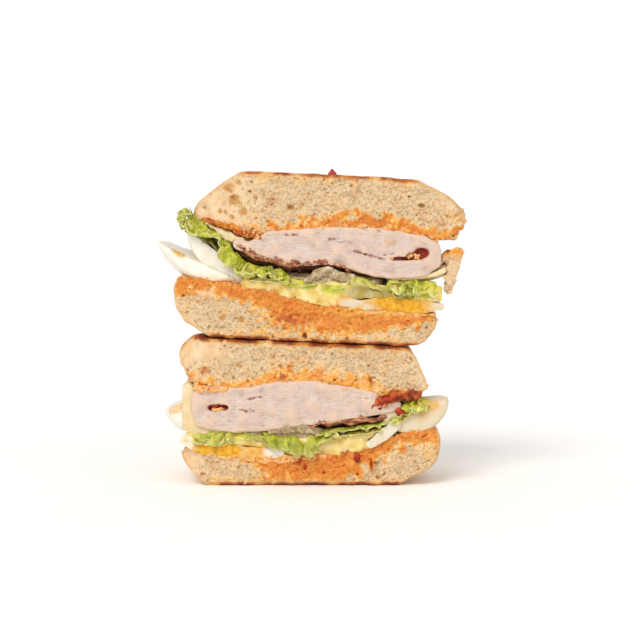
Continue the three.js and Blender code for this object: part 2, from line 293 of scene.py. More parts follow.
def piece(name, shape, slot, nodes=(), **values):
    """Makes a mesh in the panini from points in mm, triangles and quads, with values at its points for its
    material."""
    points, triangles, quads = shape
    mesh = bpy.data.meshes.new(name)
    mesh.vertices.add(len(points))
    mesh.vertices.foreach_set("co", (np.asarray(points) * MM).astype(np.float32).ravel())
    loops = np.concatenate([np.ravel(triangles), np.ravel(quads)]).astype(np.int32)
    sizes = np.concatenate([np.full(len(triangles), 3), np.full(len(quads), 4)]).astype(np.int32)
    mesh.loops.add(len(loops))
    mesh.loops.foreach_set("vertex_index", loops)
    mesh.polygons.add(len(sizes))
    mesh.polygons.foreach_set("loop_start", np.concatenate([[0], np.cumsum(sizes)[:-1]]).astype(np.int32))
    mesh.polygons.foreach_set("loop_total", sizes)
    mesh.update(calc_edges=True)
    mesh.validate()
    mesh.shade_smooth()
    for key, held in values.items():
        held = np.broadcast_to(np.asarray(held, np.float32), len(points))
        mesh.attributes.new(key, "FLOAT", "POINT").data.foreach_set("value", np.ascontiguousarray(held))
    made = bpy.data.objects.new(name, mesh)
    bpy.context.scene.collection.objects.link(made)
    mesh.materials.append(MATERIALS[slot])
    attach(made, "root")
    if nodes:
        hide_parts(*nodes)
    print(f"{name}: {len(sizes)} faces")


# ---- Materials ----------------------------------------------------------------------------------------

SLICE = 1.25  # the thickness of a turkey slice in mm


def linear(hex_colour):
    """An sRGB hex colour as linear red, green, blue and 1."""
    srgb = [int(hex_colour[i : i + 2], 16) / 255 for i in (1, 3, 5)]
    return [c / 12.92 if c <= 0.04045 else ((c + 0.055) / 1.055) ** 2.4 for c in srgb] + [1.0]


def per(size):
    """The scale of a pattern whose features are size mm apart."""
    return 1 / (size * MM)


def add(tree, kind, output=None, stops=(), **given):
    """Adds a node with its settings and links, and gives back one of its outputs. stops are a ramp's places
    and colours. Every other value is a setting of the node, or goes into its socket of that name."""
    made = tree.nodes.new("ShaderNode" + kind)
    if kind == "Mix":
        made.data_type = "RGBA"  # only colours are mixed
    for name in [name for name in given if hasattr(made, name)]:
        setattr(made, name, given.pop(name))
    for i, (place, shade) in enumerate(stops):
        elements = made.color_ramp.elements
        element = elements[i] if i < len(elements) else elements.new(place)
        element.position = place
        element.color = linear(shade) if isinstance(shade, str) else (shade, shade, shade, 1)
    for name, value in given.items():
        socket = next(
            s for s in made.inputs if s.enabled and name in (s.identifier, s.name.replace(" ", "_"))
        )
        if isinstance(value, bpy.types.NodeSocket):
            tree.links.new(value, socket)
        else:
            socket.default_value = linear(value) if isinstance(value, str) else value
    return made.outputs[output] if output else next((s for s in made.outputs if s.enabled), None)


def start(name, *values):
    """A new material, the function that adds nodes to it, the places on the piece, and its named values
    there."""
    made = bpy.data.materials.new(name)
    made.use_nodes = True
    made.node_tree.nodes.clear()
    node = partial(add, made.node_tree)
    held = {value: node("Attribute", output="Fac", attribute_name=value) for value in values}
    return made, node, node("TexCoord", output="Object"), held


def ciabatta():
    """Baked ciabatta, pressed and toasted. The torn crumb is pale and matte, with tan pores that darken the
    deeper they go, as painted shade. The crust is thin, golden and a little shiny, and sauce turns the crumb
    orange where it soaks in. The pressed faces are toasted dark, and along the line where the halves meet
    that dark is painted shade as well."""
    made, node, at, held = start(
        "baked_ciabatta", "pit", "crust", "toast", "soak", "stain", "flour", "yellow"
    )
    grain = node("TexNoise", Vector=at, Scale=per(0.9), Detail=5, Roughness=0.72)  # the crumb's torn walls
    cloud = node("TexNoise", Vector=at, Scale=per(8), Detail=3)
    crumb = node("ValToRGB", Fac=cloud, stops=[(0.35, "#dab98f"), (0.5, "#dfc8a6"), (0.65, "#e5c69c")])
    drops = node("TexNoise", Vector=at, Scale=per(4.2), Detail=5, Roughness=0.6)
    dry = node("Math", operation="SUBTRACT", Value=held["soak"], Value_001=0.36)
    wet = node("Math", operation="MULTIPLY_ADD", Value=drops, Value_001=0.72, Value_002=dry)
    sauce = node(
        "ValToRGB", Fac=wet, stops=[(0.2, "#f8dcae"), (0.5, "#fad28c"), (0.78, "#f4b24e"), (1.0, "#dc8420")]
    )
    streak = node("TexNoise", Vector=at, Scale=per(6), Detail=3, Roughness=0.6, Distortion=0.8)
    streak = node("ValToRGB", Fac=streak, stops=[(0.5, 0.0), (0.66, 0.75)])
    streak = node("Math", operation="MULTIPLY", Value=streak, Value_001=wet, use_clamp=True)
    sauce = node("Mix", Factor=streak, A=sauce, B="#de7014")
    ochre = node("TexNoise", Vector=at, Scale=per(5), Detail=4, Roughness=0.65)
    ochre = node("ValToRGB", Fac=ochre, stops=[(0.5, 0.0), (0.7, 0.55)])
    sauce = node("Mix", Factor=ochre, A=sauce, B="#d3923e")
    share = node("ValToRGB", Fac=wet, stops=[(0.08, 0.0), (0.75, 0.93)])
    crumb = node("Mix", Factor=share, A=crumb, B=sauce)
    yolk = node("ValToRGB", Fac=drops, stops=[(0.35, "#eaa534"), (0.65, "#f3c668")])
    crumb = node("Mix", Factor=held["yellow"], A=crumb, B=yolk)
    oil = node("ValToRGB", Fac=drops, stops=[(0.35, "#a8441c"), (0.65, "#d67a3a")])
    crumb = node("Mix", Factor=held["stain"], A=crumb, B=oil)
    speck = node("ValToRGB", Fac=grain, stops=[(0.28, "#b4936a"), (0.4, "#e2cfb2"), (0.5, "#ffffff")])
    # Sauce fills the fine pores, and is wetter than crumb.
    plain = node("Math", operation="MULTIPLY_ADD", Value=share, Value_001=-0.7, Value_002=1.0)
    crumb = node("Mix", blend_type="MULTIPLY", Factor=plain, A=crumb, B=speck)
    # Painted shade in the pores: darker the deeper each place lies behind the cut face.
    pore = node("ValToRGB", Fac=held["pit"], stops=[(0.08, "#ffffff"), (0.35, "#ebcea0"), (0.9, "#c39764")])
    crumb = node("Mix", blend_type="MULTIPLY", Factor=1.0, A=crumb, B=pore)
    skin = node("TexNoise", Vector=at, Scale=per(7), Detail=4)
    skin = node("ValToRGB", Fac=skin, stops=[(0.35, "#e6bf8e"), (0.65, "#f1d5b0")])
    crumb = node("Mix", Factor=held["flour"], A=crumb, B=skin)
    blister = node("TexNoise", Vector=at, Scale=per(14), Detail=5, Roughness=0.62, Distortion=0.6)
    crust = node("ValToRGB", Fac=blister, stops=[(0.3, "#b9742f"), (0.47, "#d9a565"), (0.66, "#e9c998")])
    flour = node("TexNoise", Vector=at, Scale=per(1.7), Detail=3, Roughness=0.8)
    flour = node("ValToRGB", Fac=flour, stops=[(0.5, 0.0), (0.75, 0.5)])
    crust = node("Mix", Factor=flour, A=crust, B="#eedcbe")
    # The pressed faces are seared dark: real toasting, and painted shade along the line where the halves
    # meet.
    seared = node("TexNoise", Vector=at, Scale=per(5), Detail=4, Roughness=0.6)
    seared = node("Math", operation="MULTIPLY_ADD", Value=seared, Value_001=-0.9, Value_002=held["toast"])
    seared = node(
        "ValToRGB", Fac=seared,
        stops=[(0.05, "#d9994a"), (0.28, "#bf6d26"), (0.5, "#93451a"), (0.72, "#4e1c0a")]
    )
    pressed = node("ValToRGB", Fac=held["toast"], stops=[(0.0, 0.0), (0.6, 1.0)])
    crust = node("Mix", Factor=pressed, A=crust, B=seared)
    colour = node("Mix", Factor=held["crust"], A=crumb, B=crust)
    torn = node("Bump", Height=grain, Strength=plain, Distance=0.45 * MM)
    clots = node("Math", operation="MULTIPLY", Value=drops, Value_001=share)
    torn = node("Bump", Height=clots, Distance=1.4 * MM, Normal=torn)
    shine = node("Math", operation="MULTIPLY_ADD", Value=share, Value_001=-0.45, Value_002=0.85)
    baked = node(
        "BsdfPrincipled", Base_Color=colour, Normal=torn, Roughness=shine, Specular_IOR_Level=0.3,
        Subsurface_Weight=0.12, Subsurface_Radius=(1.2, 0.8, 0.5), Subsurface_Scale=MM
    )
    node("OutputMaterial", Surface=baked)
    return made


def turkey_breast():
    """Sliced cooked turkey. Moist and slightly translucent, pale pink with faint lines where the slices
    meet."""
    made, node, at, held = start("sliced_turkey_breast", "layer", "rim", "deep")
    drift = node("TexNoise", Vector=at, Scale=per(6), Detail=3)
    slices = node("Math", operation="MULTIPLY_ADD", Value=drift, Value_001=1.4, Value_002=held["layer"])
    slices = node("Math", operation="FRACT", Value=slices)
    seams = node(
        "ValToRGB", Fac=slices, stops=[(0.0, 1.0), (0.12, 0.25), (0.24, 0.0), (0.88, 0.0), (1.0, 1.0)]
    )
    patchy = node("TexNoise", Vector=at, Scale=per(3.6), Detail=4, Roughness=0.65)
    seen = node("ValToRGB", Fac=patchy, stops=[(0.4, 0.05), (0.64, 0.4)])
    seams = node("Mix", Factor=seen, A=(0, 0, 0, 1), B=seams)
    parts = node("SeparateXYZ", output="X", Vector=at)
    across = node("Math", operation="MULTIPLY", Value=parts, Value_001=0.16)
    depth = node("Math", operation="MULTIPLY", Value=held["layer"], Value_001=SLICE * MM)
    drawn = node("CombineXYZ", X=across, Z=depth)  # the meat's grain runs along the slices
    fibre = node("TexNoise", Vector=drawn, Scale=per(0.8), Detail=4, Roughness=0.6)
    flesh = node("ValToRGB", Fac=patchy, stops=[(0.3, "#cbb3a6"), (0.5, "#d2beb2"), (0.7, "#d7c9bf")])
    speckle = node("ValToRGB", Fac=fibre, stops=[(0.33, "#d6bcae"), (0.48, "#ffffff")])
    flesh = node("Mix", blend_type="MULTIPLY", Factor=0.62, A=flesh, B=speckle)
    rim = node("Math", operation="MULTIPLY", Value=held["rim"], Value_001=0.5)
    flesh = node("Mix", Factor=rim, A=flesh, B="#e3c2a6")
    colour = node("Mix", Factor=seams, A=flesh, B="#b98f80")
    glaze = node("ValToRGB", Fac=patchy, stops=[(0.4, "#7e1c18"), (0.62, "#a8452c")])
    colour = node("Mix", Factor=held["deep"], A=colour, B=glaze)
    raised = node("Math", operation="SUBTRACT", Value=fibre, Value_001=seams)
    cut = node("Bump", Height=raised, Distance=0.12 * MM)
    moist = node(
        "BsdfPrincipled", Base_Color=colour, Normal=cut, Roughness=0.45, IOR=1.4, Subsurface_Weight=0.2,
        Subsurface_Radius=(1.4, 1.1, 0.9), Subsurface_Scale=MM
    )
    node("OutputMaterial", Surface=moist)
    return made


def boiled_egg():
    """Boiled egg. The white is smooth, moist and faintly translucent, and the yolk is matte and crumbly."""
    made, node, at, held = start("boiled_egg", "yolk", "stain", "dull")
    cloud = node("TexNoise", Vector=at, Scale=per(6), Detail=3)
    white = node("ValToRGB", Fac=cloud, stops=[(0.35, "#ece5d4"), (0.6, "#f6f2e9")])
    # Painted shade: the white is greyed towards a shaded tone on slices that sit in shade.
    white = node("Mix", Factor=held["dull"], A=white, B="#c9bc98")
    smear = node("TexNoise", Vector=at, Scale=per(2.5), Detail=3)
    smear = node("ValToRGB", Fac=smear, stops=[(0.38, "#dc9d3e"), (0.62, "#e8b968")])
    white = node("Mix", Factor=held["stain"], A=white, B=smear)
    crumbs = node("TexNoise", Vector=at, Scale=per(2.2), Detail=5, Roughness=0.7)
    yolk = node("ValToRGB", Fac=crumbs, stops=[(0.32, "#cb8814"), (0.5, "#e0a41a"), (0.68, "#eec440")])
    colour = node("Mix", Factor=held["yolk"], A=white, B=yolk)
    crumbly = node("Math", operation="MULTIPLY", Value=crumbs, Value_001=held["yolk"])
    sliced = node("Bump", Height=crumbly, Distance=0.6 * MM)
    boiled = node(
        "BsdfPrincipled", Base_Color=colour, Normal=sliced, Roughness=0.36, IOR=1.38, Subsurface_Weight=0.3,
        Subsurface_Radius=(1.8, 1.3, 0.9), Subsurface_Scale=MM
    )
    node("OutputMaterial", Surface=boiled)
    return made


def cheese_slice():
    """Mild sliced cheese. Smooth, waxy and translucent, so it is paler where it is thick."""
    made, node, at, _ = start("mild_sliced_cheese")
    cloud = node("TexNoise", Vector=at, Scale=per(8), Detail=4)
    colour = node("ValToRGB", Fac=cloud, stops=[(0.3, "#dbbf8c"), (0.5, "#e4cfa4"), (0.7, "#e9d7b2")])
    press = node("TexNoise", Vector=at, Scale=per(2.5), Detail=3)
    sliced = node("Bump", Height=press, Distance=0.15 * MM)
    waxy = node(
        "BsdfPrincipled", Base_Color=colour, Normal=sliced, Roughness=0.38, IOR=1.45, Subsurface_Weight=0.4,
        Subsurface_Radius=(2.4, 1.8, 1.0), Subsurface_Scale=MM
    )
    node("OutputMaterial", Surface=waxy)
    return made


def fried_bacon():
    """Fried bacon. Brown-red lean with pale fat streaks along the rasher, greasy and uneven."""
    made, node, at, held = start("fried_bacon", "back")
    drawn = node("Mapping", Vector=at, Scale=(0.3, 1.0, 1.4))  # streaks run along the rasher
    streak = node("TexNoise", Vector=drawn, Scale=per(1.8), Detail=5, Roughness=0.65)
    colour = node(
        "ValToRGB", Fac=streak,
        stops=[(0.33, "#56200f"), (0.45, "#8c4a30"), (0.54, "#b0704c"), (0.64, "#deb48e")]
    )
    burnt = node("Math", operation="MULTIPLY", Value=held["back"], Value_001=0.8)
    colour = node("Mix", Factor=burnt, A=colour, B="#3a1a10")  # painted shade: darker away from the cut, where the rasher lies in shade between the layers
    crinkle = node("Bump", Height=streak, Distance=0.6 * MM)
    fried = node(
        "BsdfPrincipled", Base_Color=colour, Normal=crinkle, Roughness=0.3, IOR=1.46, Subsurface_Weight=0.15,
        Subsurface_Radius=(1.2, 0.6, 0.4), Subsurface_Scale=MM
    )
    node("OutputMaterial", Surface=fried)
    return made


def lettuce_leaf():
    """Green lettuce. Glossy, thin enough to let light through, and pale at the rib. Its frill is brighter,
    partly its own pale margin and partly painted highlight, and painted shade darkens its furrows and hidden
    leaves.
    """
    made, node, at, held = start("green_lettuce_leaf", "rib", "edge", "dark")
    cloud = node("TexNoise", Vector=at, Scale=per(4.5), Detail=5, Roughness=0.6)
    green = node(
        "ValToRGB", Fac=cloud,
        stops=[(0.34, "#8b9a1c"), (0.45, "#b3ba2c"), (0.56, "#d0d040"), (0.68, "#e2df6a")]
    )
    pale = node("TexNoise", Vector=at, Scale=per(5), Detail=4)
    pale = node("ValToRGB", Fac=pale, stops=[(0.33, "#d4b458"), (0.5, "#e4cb7c"), (0.66, "#eddca0")])
    colour = node("Mix", Factor=held["rib"], A=green, B=pale)
    # Paler at the front edge: partly the leaf's own margin, partly painted highlight.
    rim = node("Math", operation="MULTIPLY", Value=held["edge"], Value_001=0.65)
    colour = node("Mix", Factor=rim, A=colour, B="#eceba4")
    veins = node("TexVoronoi", feature="DISTANCE_TO_EDGE", Vector=at, Scale=per(5))
    vein = node("ValToRGB", Fac=veins, stops=[(0.0, 1.0), (0.06, 0.0)])
    blade = node("Math", operation="SUBTRACT", Value=0.22, Value_001=held["rib"])
    vein = node("Math", operation="MULTIPLY", Value=vein, Value_001=blade, use_clamp=True)
    colour = node("Mix", Factor=vein, A=colour, B="#e3e8a0")
    # Darker where asked: its own darker tone, sauce browning on the ribs, and painted shade in furrows and on
    # hidden leaves.
    colour = node("Mix", Factor=held["dark"], A=colour, B="#6a5f12")
    ribbed = node("Bump", Height=cloud, Distance=0.3 * MM)
    crisp = node(
        "BsdfPrincipled", Base_Color=colour, Normal=ribbed, Roughness=0.32, IOR=1.42, Subsurface_Weight=0.3,
        Subsurface_Radius=(1.0, 1.4, 0.4), Subsurface_Scale=MM
    )
    node("OutputMaterial", Surface=crisp)
    return made


def pickle_slice():
    """Dill pickle slices. Wet, grey-green and translucent, with darker seeds, and pale frosty patches that
    are partly painted highlights.
    """
    made, node, at, _ = start("dill_pickle_slice")
    # Mottled flesh whose palest and darkest patches stand in partly for painted highlight and painted shade.
    cloud = node("TexNoise", Vector=at, Scale=per(3), Detail=5, Roughness=0.65, Distortion=0.8)
    flesh = node(
        "ValToRGB", Fac=cloud,
        stops=[(0.32, "#7d6644"), (0.44, "#a28a62"), (0.55, "#b9a580"), (0.67, "#dfd3ba")]
    )
    seeds = node("TexVoronoi", Vector=at, Scale=per(3.2))
    seed = node("ValToRGB", Fac=seeds, stops=[(0.14, 0.6), (0.26, 0.0)])
    colour = node("Mix", Factor=seed, A=flesh, B="#5c5034")
    crinkle = node("Bump", Height=cloud, Distance=0.5 * MM)
    wet = node(
        "BsdfPrincipled", Base_Color=colour, Normal=crinkle, Roughness=0.18, IOR=1.36, Subsurface_Weight=0.4,
        Subsurface_Radius=(2.0, 1.9, 1.1), Subsurface_Scale=MM
    )
    node("OutputMaterial", Surface=wet)
    return made


def dried_tomato():
    """Dried tomato in oil. Deep red flesh that thins to orange-brown, wrinkled and glossy."""
    made, node, at, held = start("dried_tomato_in_oil", "ripe")
    cloud = node("TexNoise", Vector=at, Scale=per(3), Detail=4)
    thin = node("ValToRGB", Fac=cloud, stops=[(0.34, "#a04a12"), (0.48, "#cc7a22"), (0.62, "#dd9a3e")])
    thick = node("ValToRGB", Fac=cloud, stops=[(0.34, "#5c0f08"), (0.5, "#9c2410"), (0.66, "#cc5a1e")])
    colour = node("Mix", Factor=held["ripe"], A=thin, B=thick)
    wrinkle = node("Bump", Height=cloud, Distance=0.7 * MM)
    oily = node(
        "BsdfPrincipled", Base_Color=colour, Normal=wrinkle, Roughness=0.34, Specular_IOR_Level=0.3,
        Subsurface_Weight=0.2, Subsurface_Radius=(1.2, 0.4, 0.2), Subsurface_Scale=MM
    )
    node("OutputMaterial", Surface=oily)
    return made


def paprika_mayonnaise():
    """Paprika mayonnaise worked into crumbs. Orange, soft-edged and a little shiny."""
    made, node, at, _ = start("paprika_mayonnaise")
    drops = node("TexNoise", Vector=at, Scale=per(2.8), Detail=5, Roughness=0.7)
    colour = node(
        "ValToRGB", Fac=drops,
        stops=[(0.3, "#d98840"), (0.44, "#eba75c"), (0.58, "#f1c084"), (0.72, "#f3d3a8")]
    )
    crumbs = node("TexNoise", Vector=at, Scale=per(0.9), Detail=4)
    lumpy = node("Bump", Height=crumbs, Distance=0.4 * MM)
    creamy = node(
        "BsdfPrincipled", Base_Color=colour, Normal=lumpy, Roughness=0.5, IOR=1.46, Subsurface_Weight=0.2,
        Subsurface_Radius=(1.2, 0.7, 0.4), Subsurface_Scale=MM
    )
    node("OutputMaterial", Surface=creamy)
    return made


def lacquered_pick():
    """A turned wooden pick. Pale straight-grained wood below a dark red lacquered head."""
    made, node, at, held = start("lacquered_wooden_pick", "head")
    drawn = node("Mapping", Vector=at, Scale=(1.0, 1.0, 0.06))  # the grain runs up the stick
    grain = node("TexNoise", Vector=drawn, Scale=per(0.5), Detail=3)
    wood = node("ValToRGB", Fac=grain, stops=[(0.35, "#c9a06a"), (0.65, "#e5c996")])
    flecks = node("TexNoise", Vector=at, Scale=per(1.2), Detail=3)
    red = node("ValToRGB", Fac=flecks, stops=[(0.35, "#8a0916"), (0.65, "#c81c2a")])
    colour = node("Mix", Factor=held["head"], A=wood, B=red)
    turned = node("Bump", Height=grain, Distance=0.1 * MM)
    lacquer = node("BsdfPrincipled", Base_Color=colour, Normal=turned, Roughness=0.3, IOR=1.5)
    node("OutputMaterial", Surface=lacquer)
    return made


MATERIALS = {
    "bread": ciabatta(),
    "turkey": turkey_breast(),
    "egg": boiled_egg(),
    "cheese": cheese_slice(),
    "bacon": fried_bacon(),
    "lettuce": lettuce_leaf(),
    "pickle": pickle_slice(),
    "tomato": dried_tomato(),
    "sauce": paprika_mayonnaise(),
    "pick": lacquered_pick(),
}

# ---- Bread --------------------------------------------------------------------------------------------

BREAD_MERGED = 0.12  # like MEDIUM, and a little more
PORES = 2600  # in each piece of bread, counting those that would fall in its crust


def bake(
    name, soak, spots, stains, seed, smooth=(), yellows=(), holes=(), ragged=(), full=(), toasted=1.0,
    rich=1.0
):
    """One piece of bread. soak is how deep the sauce has soaked in from the side towards the filling, in mm,
    across the width. spots and stains are places of more sauce: share across, share up, reach across, reach
    up and strength. smooth and yellows are places of smooth floury skin and of egg yolk, ragged ones are
    torn, holes are big pores, and full is where the loaf bulges. toasted is how dark the pressed faces are,
    from toasting and, where the halves meet, from painted shade as well, and rich how strong the sauce is."""
    under = name.endswith("top")  # the filling is under it
    block = Block(BREAD_CELL, [name])
    block.run_through()
    for x, z, reach in full:
        block.lump((x + MIDDLE_X, CUT + 12, z), (reach, 34, reach))
    block.soften(2.2)
    block.depth += 0.16 * block.bumps(11, seed) + 0.05 * block.bumps(3.5, seed + 1)
    at_cut = int(round((CUT + 2) / BREAD_CELL)) - block.low[1]
    outline = block.depth[:, at_cut, :].copy()
    inside = outline < 0
    column = inside.any(axis=1)
    x, z = block.x[:, 0, 0], block.z[0, 0, :]
    bottom = np.where(column, z[np.argmax(inside, axis=1)], z[-1])
    top = np.where(column, z[::-1][np.argmax(inside[:, ::-1], axis=1)], z[0])
    from_split = z[None, :] - bottom[:, None] if under else top[:, None] - z[None, :]
    from_outer = top[:, None] - z[None, :] if under else z[None, :] - bottom[:, None]
    x_low, x_high = x[column].min(), x[column].max()
    across = (x - x_low) / (x_high - x_low)
    z_low, z_high = z[inside.any(axis=0)].min(), z[inside.any(axis=0)].max()
    grid_x, grid_z = np.meshgrid(across, (z - z_low) / (z_high - z_low), indexing="ij")

    def patches(listed, found=0.0):
        found = found + np.zeros_like(outline)
        edge = 0.3 * block.front_bumps(3.5, seed + 10) + 0.2 * block.front_bumps(1.5, seed + 11)
        for share_x, share_z, reach_x, reach_z, strength in listed:
            far_x = (grid_x - share_x) * (x_high - x_low) / reach_x
            far = np.hypot(far_x, (grid_z - share_z) * (z_high - z_low) / reach_z)
            found = np.maximum(found, strength * ramp(far + edge, 1.4, 0.5))
        return found.astype(np.float32)

    # The split face rests on the filling, and crumbles at the cut.
    near_front = ramp(block.y, CUT + 7, CUT + 1)
    not_at_ends = ramp(across, 0.0, 0.05) * ramp(across, 1.0, 0.95)
    near_split = (ramp(from_split, 4, 0) * not_at_ends[:, None])[:, None, :]
    crumble = 0.5 * block.front_bumps(3.2, seed + 2) + 0.35 * block.front_bumps(1.6, seed + 3)
    block.depth += near_split * (near_front * crumble[:, None, :] - 0.9)
    torn = block.front_bumps(4.5, seed + 13) + 0.6 * block.front_bumps(2.2, seed + 14) - 0.3
    block.depth += near_front * (patches(ragged) * torn)[:, None, :]
    block.depth += 0.5 * ramp(block.y, CUT + 2.4, CUT) * ramp(from_outer, 1.6, 0.0)[:, None, :]
    side = block.depth.copy()
    rise = np.gradient(side, BREAD_CELL, axis=2) * (-1 if under else 1)

    skin = patches(smooth)
    relief = 0.5 + 0.3 * block.front_bumps(8, seed + 4) + (1 - skin) * (
        0.26 * block.front_bumps(2.6, seed + 5) + 0.22 * block.front_bumps(1.3, seed + 6)
    )
    relief += 4.5 * ramp(across, 0.14, 0.0)[:, None] ** 2 + 2.5 * ramp(across, 0.9, 1.0)[:, None] ** 2
    block.cut(relief)
    rng = np.random.default_rng(seed + 7)
    for _ in range(PORES):
        share = rng.uniform(0, 1, 2)
        wide = min(0.36 * np.exp(rng.normal(0.0, 0.38)), 1.4)
        i = int(share[0] * (np.ptp(x[column]) / BREAD_CELL)) + int(np.argmax(column))
        k = int((z_low - z[0]) / BREAD_CELL + share[1] * (z_high - z_low) / BREAD_CELL)
        in_crust = -outline[i, k] < wide + 0.9 and from_split[i, k] > 3
        if in_crust or (skin[i, k] > 0.4 and wide > 0.3):
            continue
        behind = CUT + relief[i, k]
        for part in range(rng.integers(1, 4)):  # pores run into each other
            drift = rng.normal(0, 0.9 * wide, 2) * (part > 0)
            reach = wide * rng.uniform((0.6, 0.5, 0.35), (1.2, 1.0, 0.85)) * (1 - 0.2 * part)
            at_y = behind + rng.uniform(-0.1, 0.4) * wide
            block.hollow((x[i] + drift[0], at_y, z[k] + 0.7 * drift[1]), reach)
    for share_x, share_z, wide, tall, deep in holes:
        at_x, at_z = x_low + share_x * (x_high - x_low), z_low + share_z * (z_high - z_low)
        behind = CUT + block.read(relief, np.array([[at_x, CUT, at_z]]))[0]
        block.hollow((at_x, behind, at_z), (wide, deep, tall))
        block.hollow((at_x + 0.5 * wide, behind, at_z - 0.4 * tall), (0.7 * wide, 0.8 * deep, 0.7 * tall))

    shape = points, _, _ = block.surface(BREAD_MERGED)
    front = block.read(side, points)
    open_face = ramp(front, -0.2, -0.9)
    pit = (points[:, 1] - CUT - block.read(relief, points)) * open_face
    band = curve_through(soak, 0, 1)(across)[:, None]
    wet = band + 1.6 * block.front_bumps(7, seed + 8) + 0.9 * block.front_bumps(2.6, seed + 9) - from_split
    wet = patches(spots, ramp(wet, -3.4, 4.4) * (band > 0.3))
    outer = smoothed(top if under else bottom, 8)
    level = ramp(np.abs(np.gradient(outer, x)), 0.45, 0.2)  # 1 where the pressed face is level
    # The crumb is golden next to the pressed face.
    glow = ramp(from_outer + 1.2 * block.front_bumps(9, seed + 16), 5.0, 1.4) * level[:, None]
    wet = np.maximum(wet, 0.6 * toasted * glow)
    # Toast on the pressed faces, which also serves as painted shade where the two halves meet.
    pressed = ramp(from_outer + 0.9 * block.front_bumps(5, seed + 15), 4.4, 1.6) * level[:, None]
    toast = toasted * pressed * ramp(bumps((len(x), 1), BREAD_CELL, 14, seed + 12), -2.8, 0.4)
    inner = ramp(block.read(rise, points), 0.35, 0.75)  # 1 near the face that looks at the filling
    toast_at = block.read(toast, points)
    crust = ramp(front, -1.3 - 2.6 * toast_at, -0.35) * (1 - inner)
    piece(
        name + "_baked", shape, "bread", [name],
        # how deep each place sits in a pore, for the painted shade there
        pit=np.clip(pit, 0, 4) / 2.2,
        crust=crust,
        toast=toast_at * ramp(front, -3.4, -0.8),
        soak=rich * block.read(wet, points) * (1 - 0.7 * crust),
        stain=block.read(patches(stains), points),
        flour=block.read(skin, points) * ramp(pit, 0.5, 0.1),
        yellow=block.read(patches(yellows), points),
    )


bake(
    "upper_bread_top", (0, 0.6, 2.6, 4.0, 6.6, 7.2, 6.8, 5.0, 5.0), [(0.97, 0.3, 5, 4, 0.6)],
    [(0.56, 0.16, 4, 2, 0.4), (0.63, 0.3, 3, 2, 0.5), (0.69, 0.27, 3, 1.6, 0.5), (0.91, 0.22, 3, 2, 0.35)],
    11, smooth=[(0.08, 0.3, 17, 14, 1), (0.14, 0.72, 10, 9, 0.8), (0.97, 0.62, 7, 6, 0.7)],
    ragged=[(0.98, 0.12, 9, 8, 0.8)], toasted=0.85,
    holes=[(0.133, 0.77, 2.8, 2.5, 1.0), (0.166, 0.84, 1.9, 1.5, 0.8), (0.155, 0.56, 3.4, 3.4, 1.1),
           (0.183, 0.41, 2.2, 2.2, 1.0), (0.1, 0.42, 1.2, 1.4, 0.9), (0.12, 0.4, 0.9, 1.2, 0.9),
           (0.143, 0.33, 1.4, 1.4, 1.0), (0.21, 0.71, 0.9, 0.8, 1.4), (0.216, 0.85, 0.9, 0.8, 1.2),
           (0.23, 0.62, 1.0, 0.9, 0.9), (0.36, 0.47, 1.5, 1.2, 1.2), (0.405, 0.51, 1.3, 1.0, 1.2),
           (0.84, 0.5, 1.3, 1.0, 1.2)]
)
bake(
    "upper_bread_bottom", (10, 8, 8, 12, 15, 12, 13, 7, 4),
    [(0.45, 0.4, 14, 6, 0.95), (0.62, 0.3, 12, 6, 0.9)], [(0.44, 0.4, 5, 2, 0.9), (0.5, 0.35, 6, 2, 0.5)], 31,
    smooth=[(0.02, 0.2, 9, 9, 0.7), (0.12, 0.78, 3.4, 1.4, 0.8)], yellows=[(0.8, 0.52, 22, 3, 0.8)],
    full=[(-51.8, 86.5, 12.6)], ragged=[(0.99, 0.5, 6, 5, 0.7)],
    holes=[(0.19, 0.42, 2.0, 2.4, 1.0), (0.26, 0.38, 1.6, 1.6, 0.9), (0.245, 0.72, 1.8, 1.6, 0.9),
           (0.38, 0.12, 0.9, 1.2, 2.0), (0.5, 0.14, 1.0, 1.5, 2.2), (0.22, 0.12, 1.2, 1.0, 1.6),
           (0.66, 0.1, 0.8, 0.7, 1.6)]
)
bake(
    "lower_bread_top", (4, 4.5, 3.5, 7, 7.5, 6.5, 7, 2.5, 1.5), [(0.08, 0.3, 5, 5, 0.6)],
    [(0.42, 0.3, 2, 1.5, 0.8), (0.1, 0.4, 2, 1.2, 0.8)], 51,
    smooth=[(0.06, 0.75, 14, 6, 1), (0.98, 0.4, 4, 9, 0.6)],
    ragged=[(0.02, 0.3, 8, 9, 1.3), (0.12, 0.1, 10, 4, 0.9), (1.0, 0.1, 6, 4, 0.6)], rich=0.8,
    holes=[(0.1, 0.45, 2.0, 1.3, 1.2), (0.24, 0.5, 1.5, 1.1, 1.2), (0.77, 0.25, 0.8, 1.4, 1.6)]
)
bake(
    "lower_bread_bottom", (0.1, 0.1, 1.5, 9, 16, 15, 9, 6, 9),
    [(0.37, 0.25, 8, 9, 0.95), (0.5, 0.35, 12, 6, 0.95), (0.965, 0.66, 5, 7, 0.55)],
    [(0.46, 0.45, 3, 3.5, 0.7), (0.63, 0.62, 3, 2.5, 0.9)], 71, smooth=[(0.02, 0.5, 7, 9, 0.8)],
    yellows=[(0.3, 0.62, 18, 2.5, 0.9)], full=[(51.4, 15.5, 9.4)],
    holes=[(0.735, 0.36, 0.7, 4.2, 2.6), (0.76, 0.14, 1.4, 1.1, 1.6), (0.68, 0.2, 0.9, 0.8, 1.5),
           (0.08, 0.2, 0.8, 1.0, 1.4)]
)

# ---- Turkey -------------------------------------------------------------------------------------------


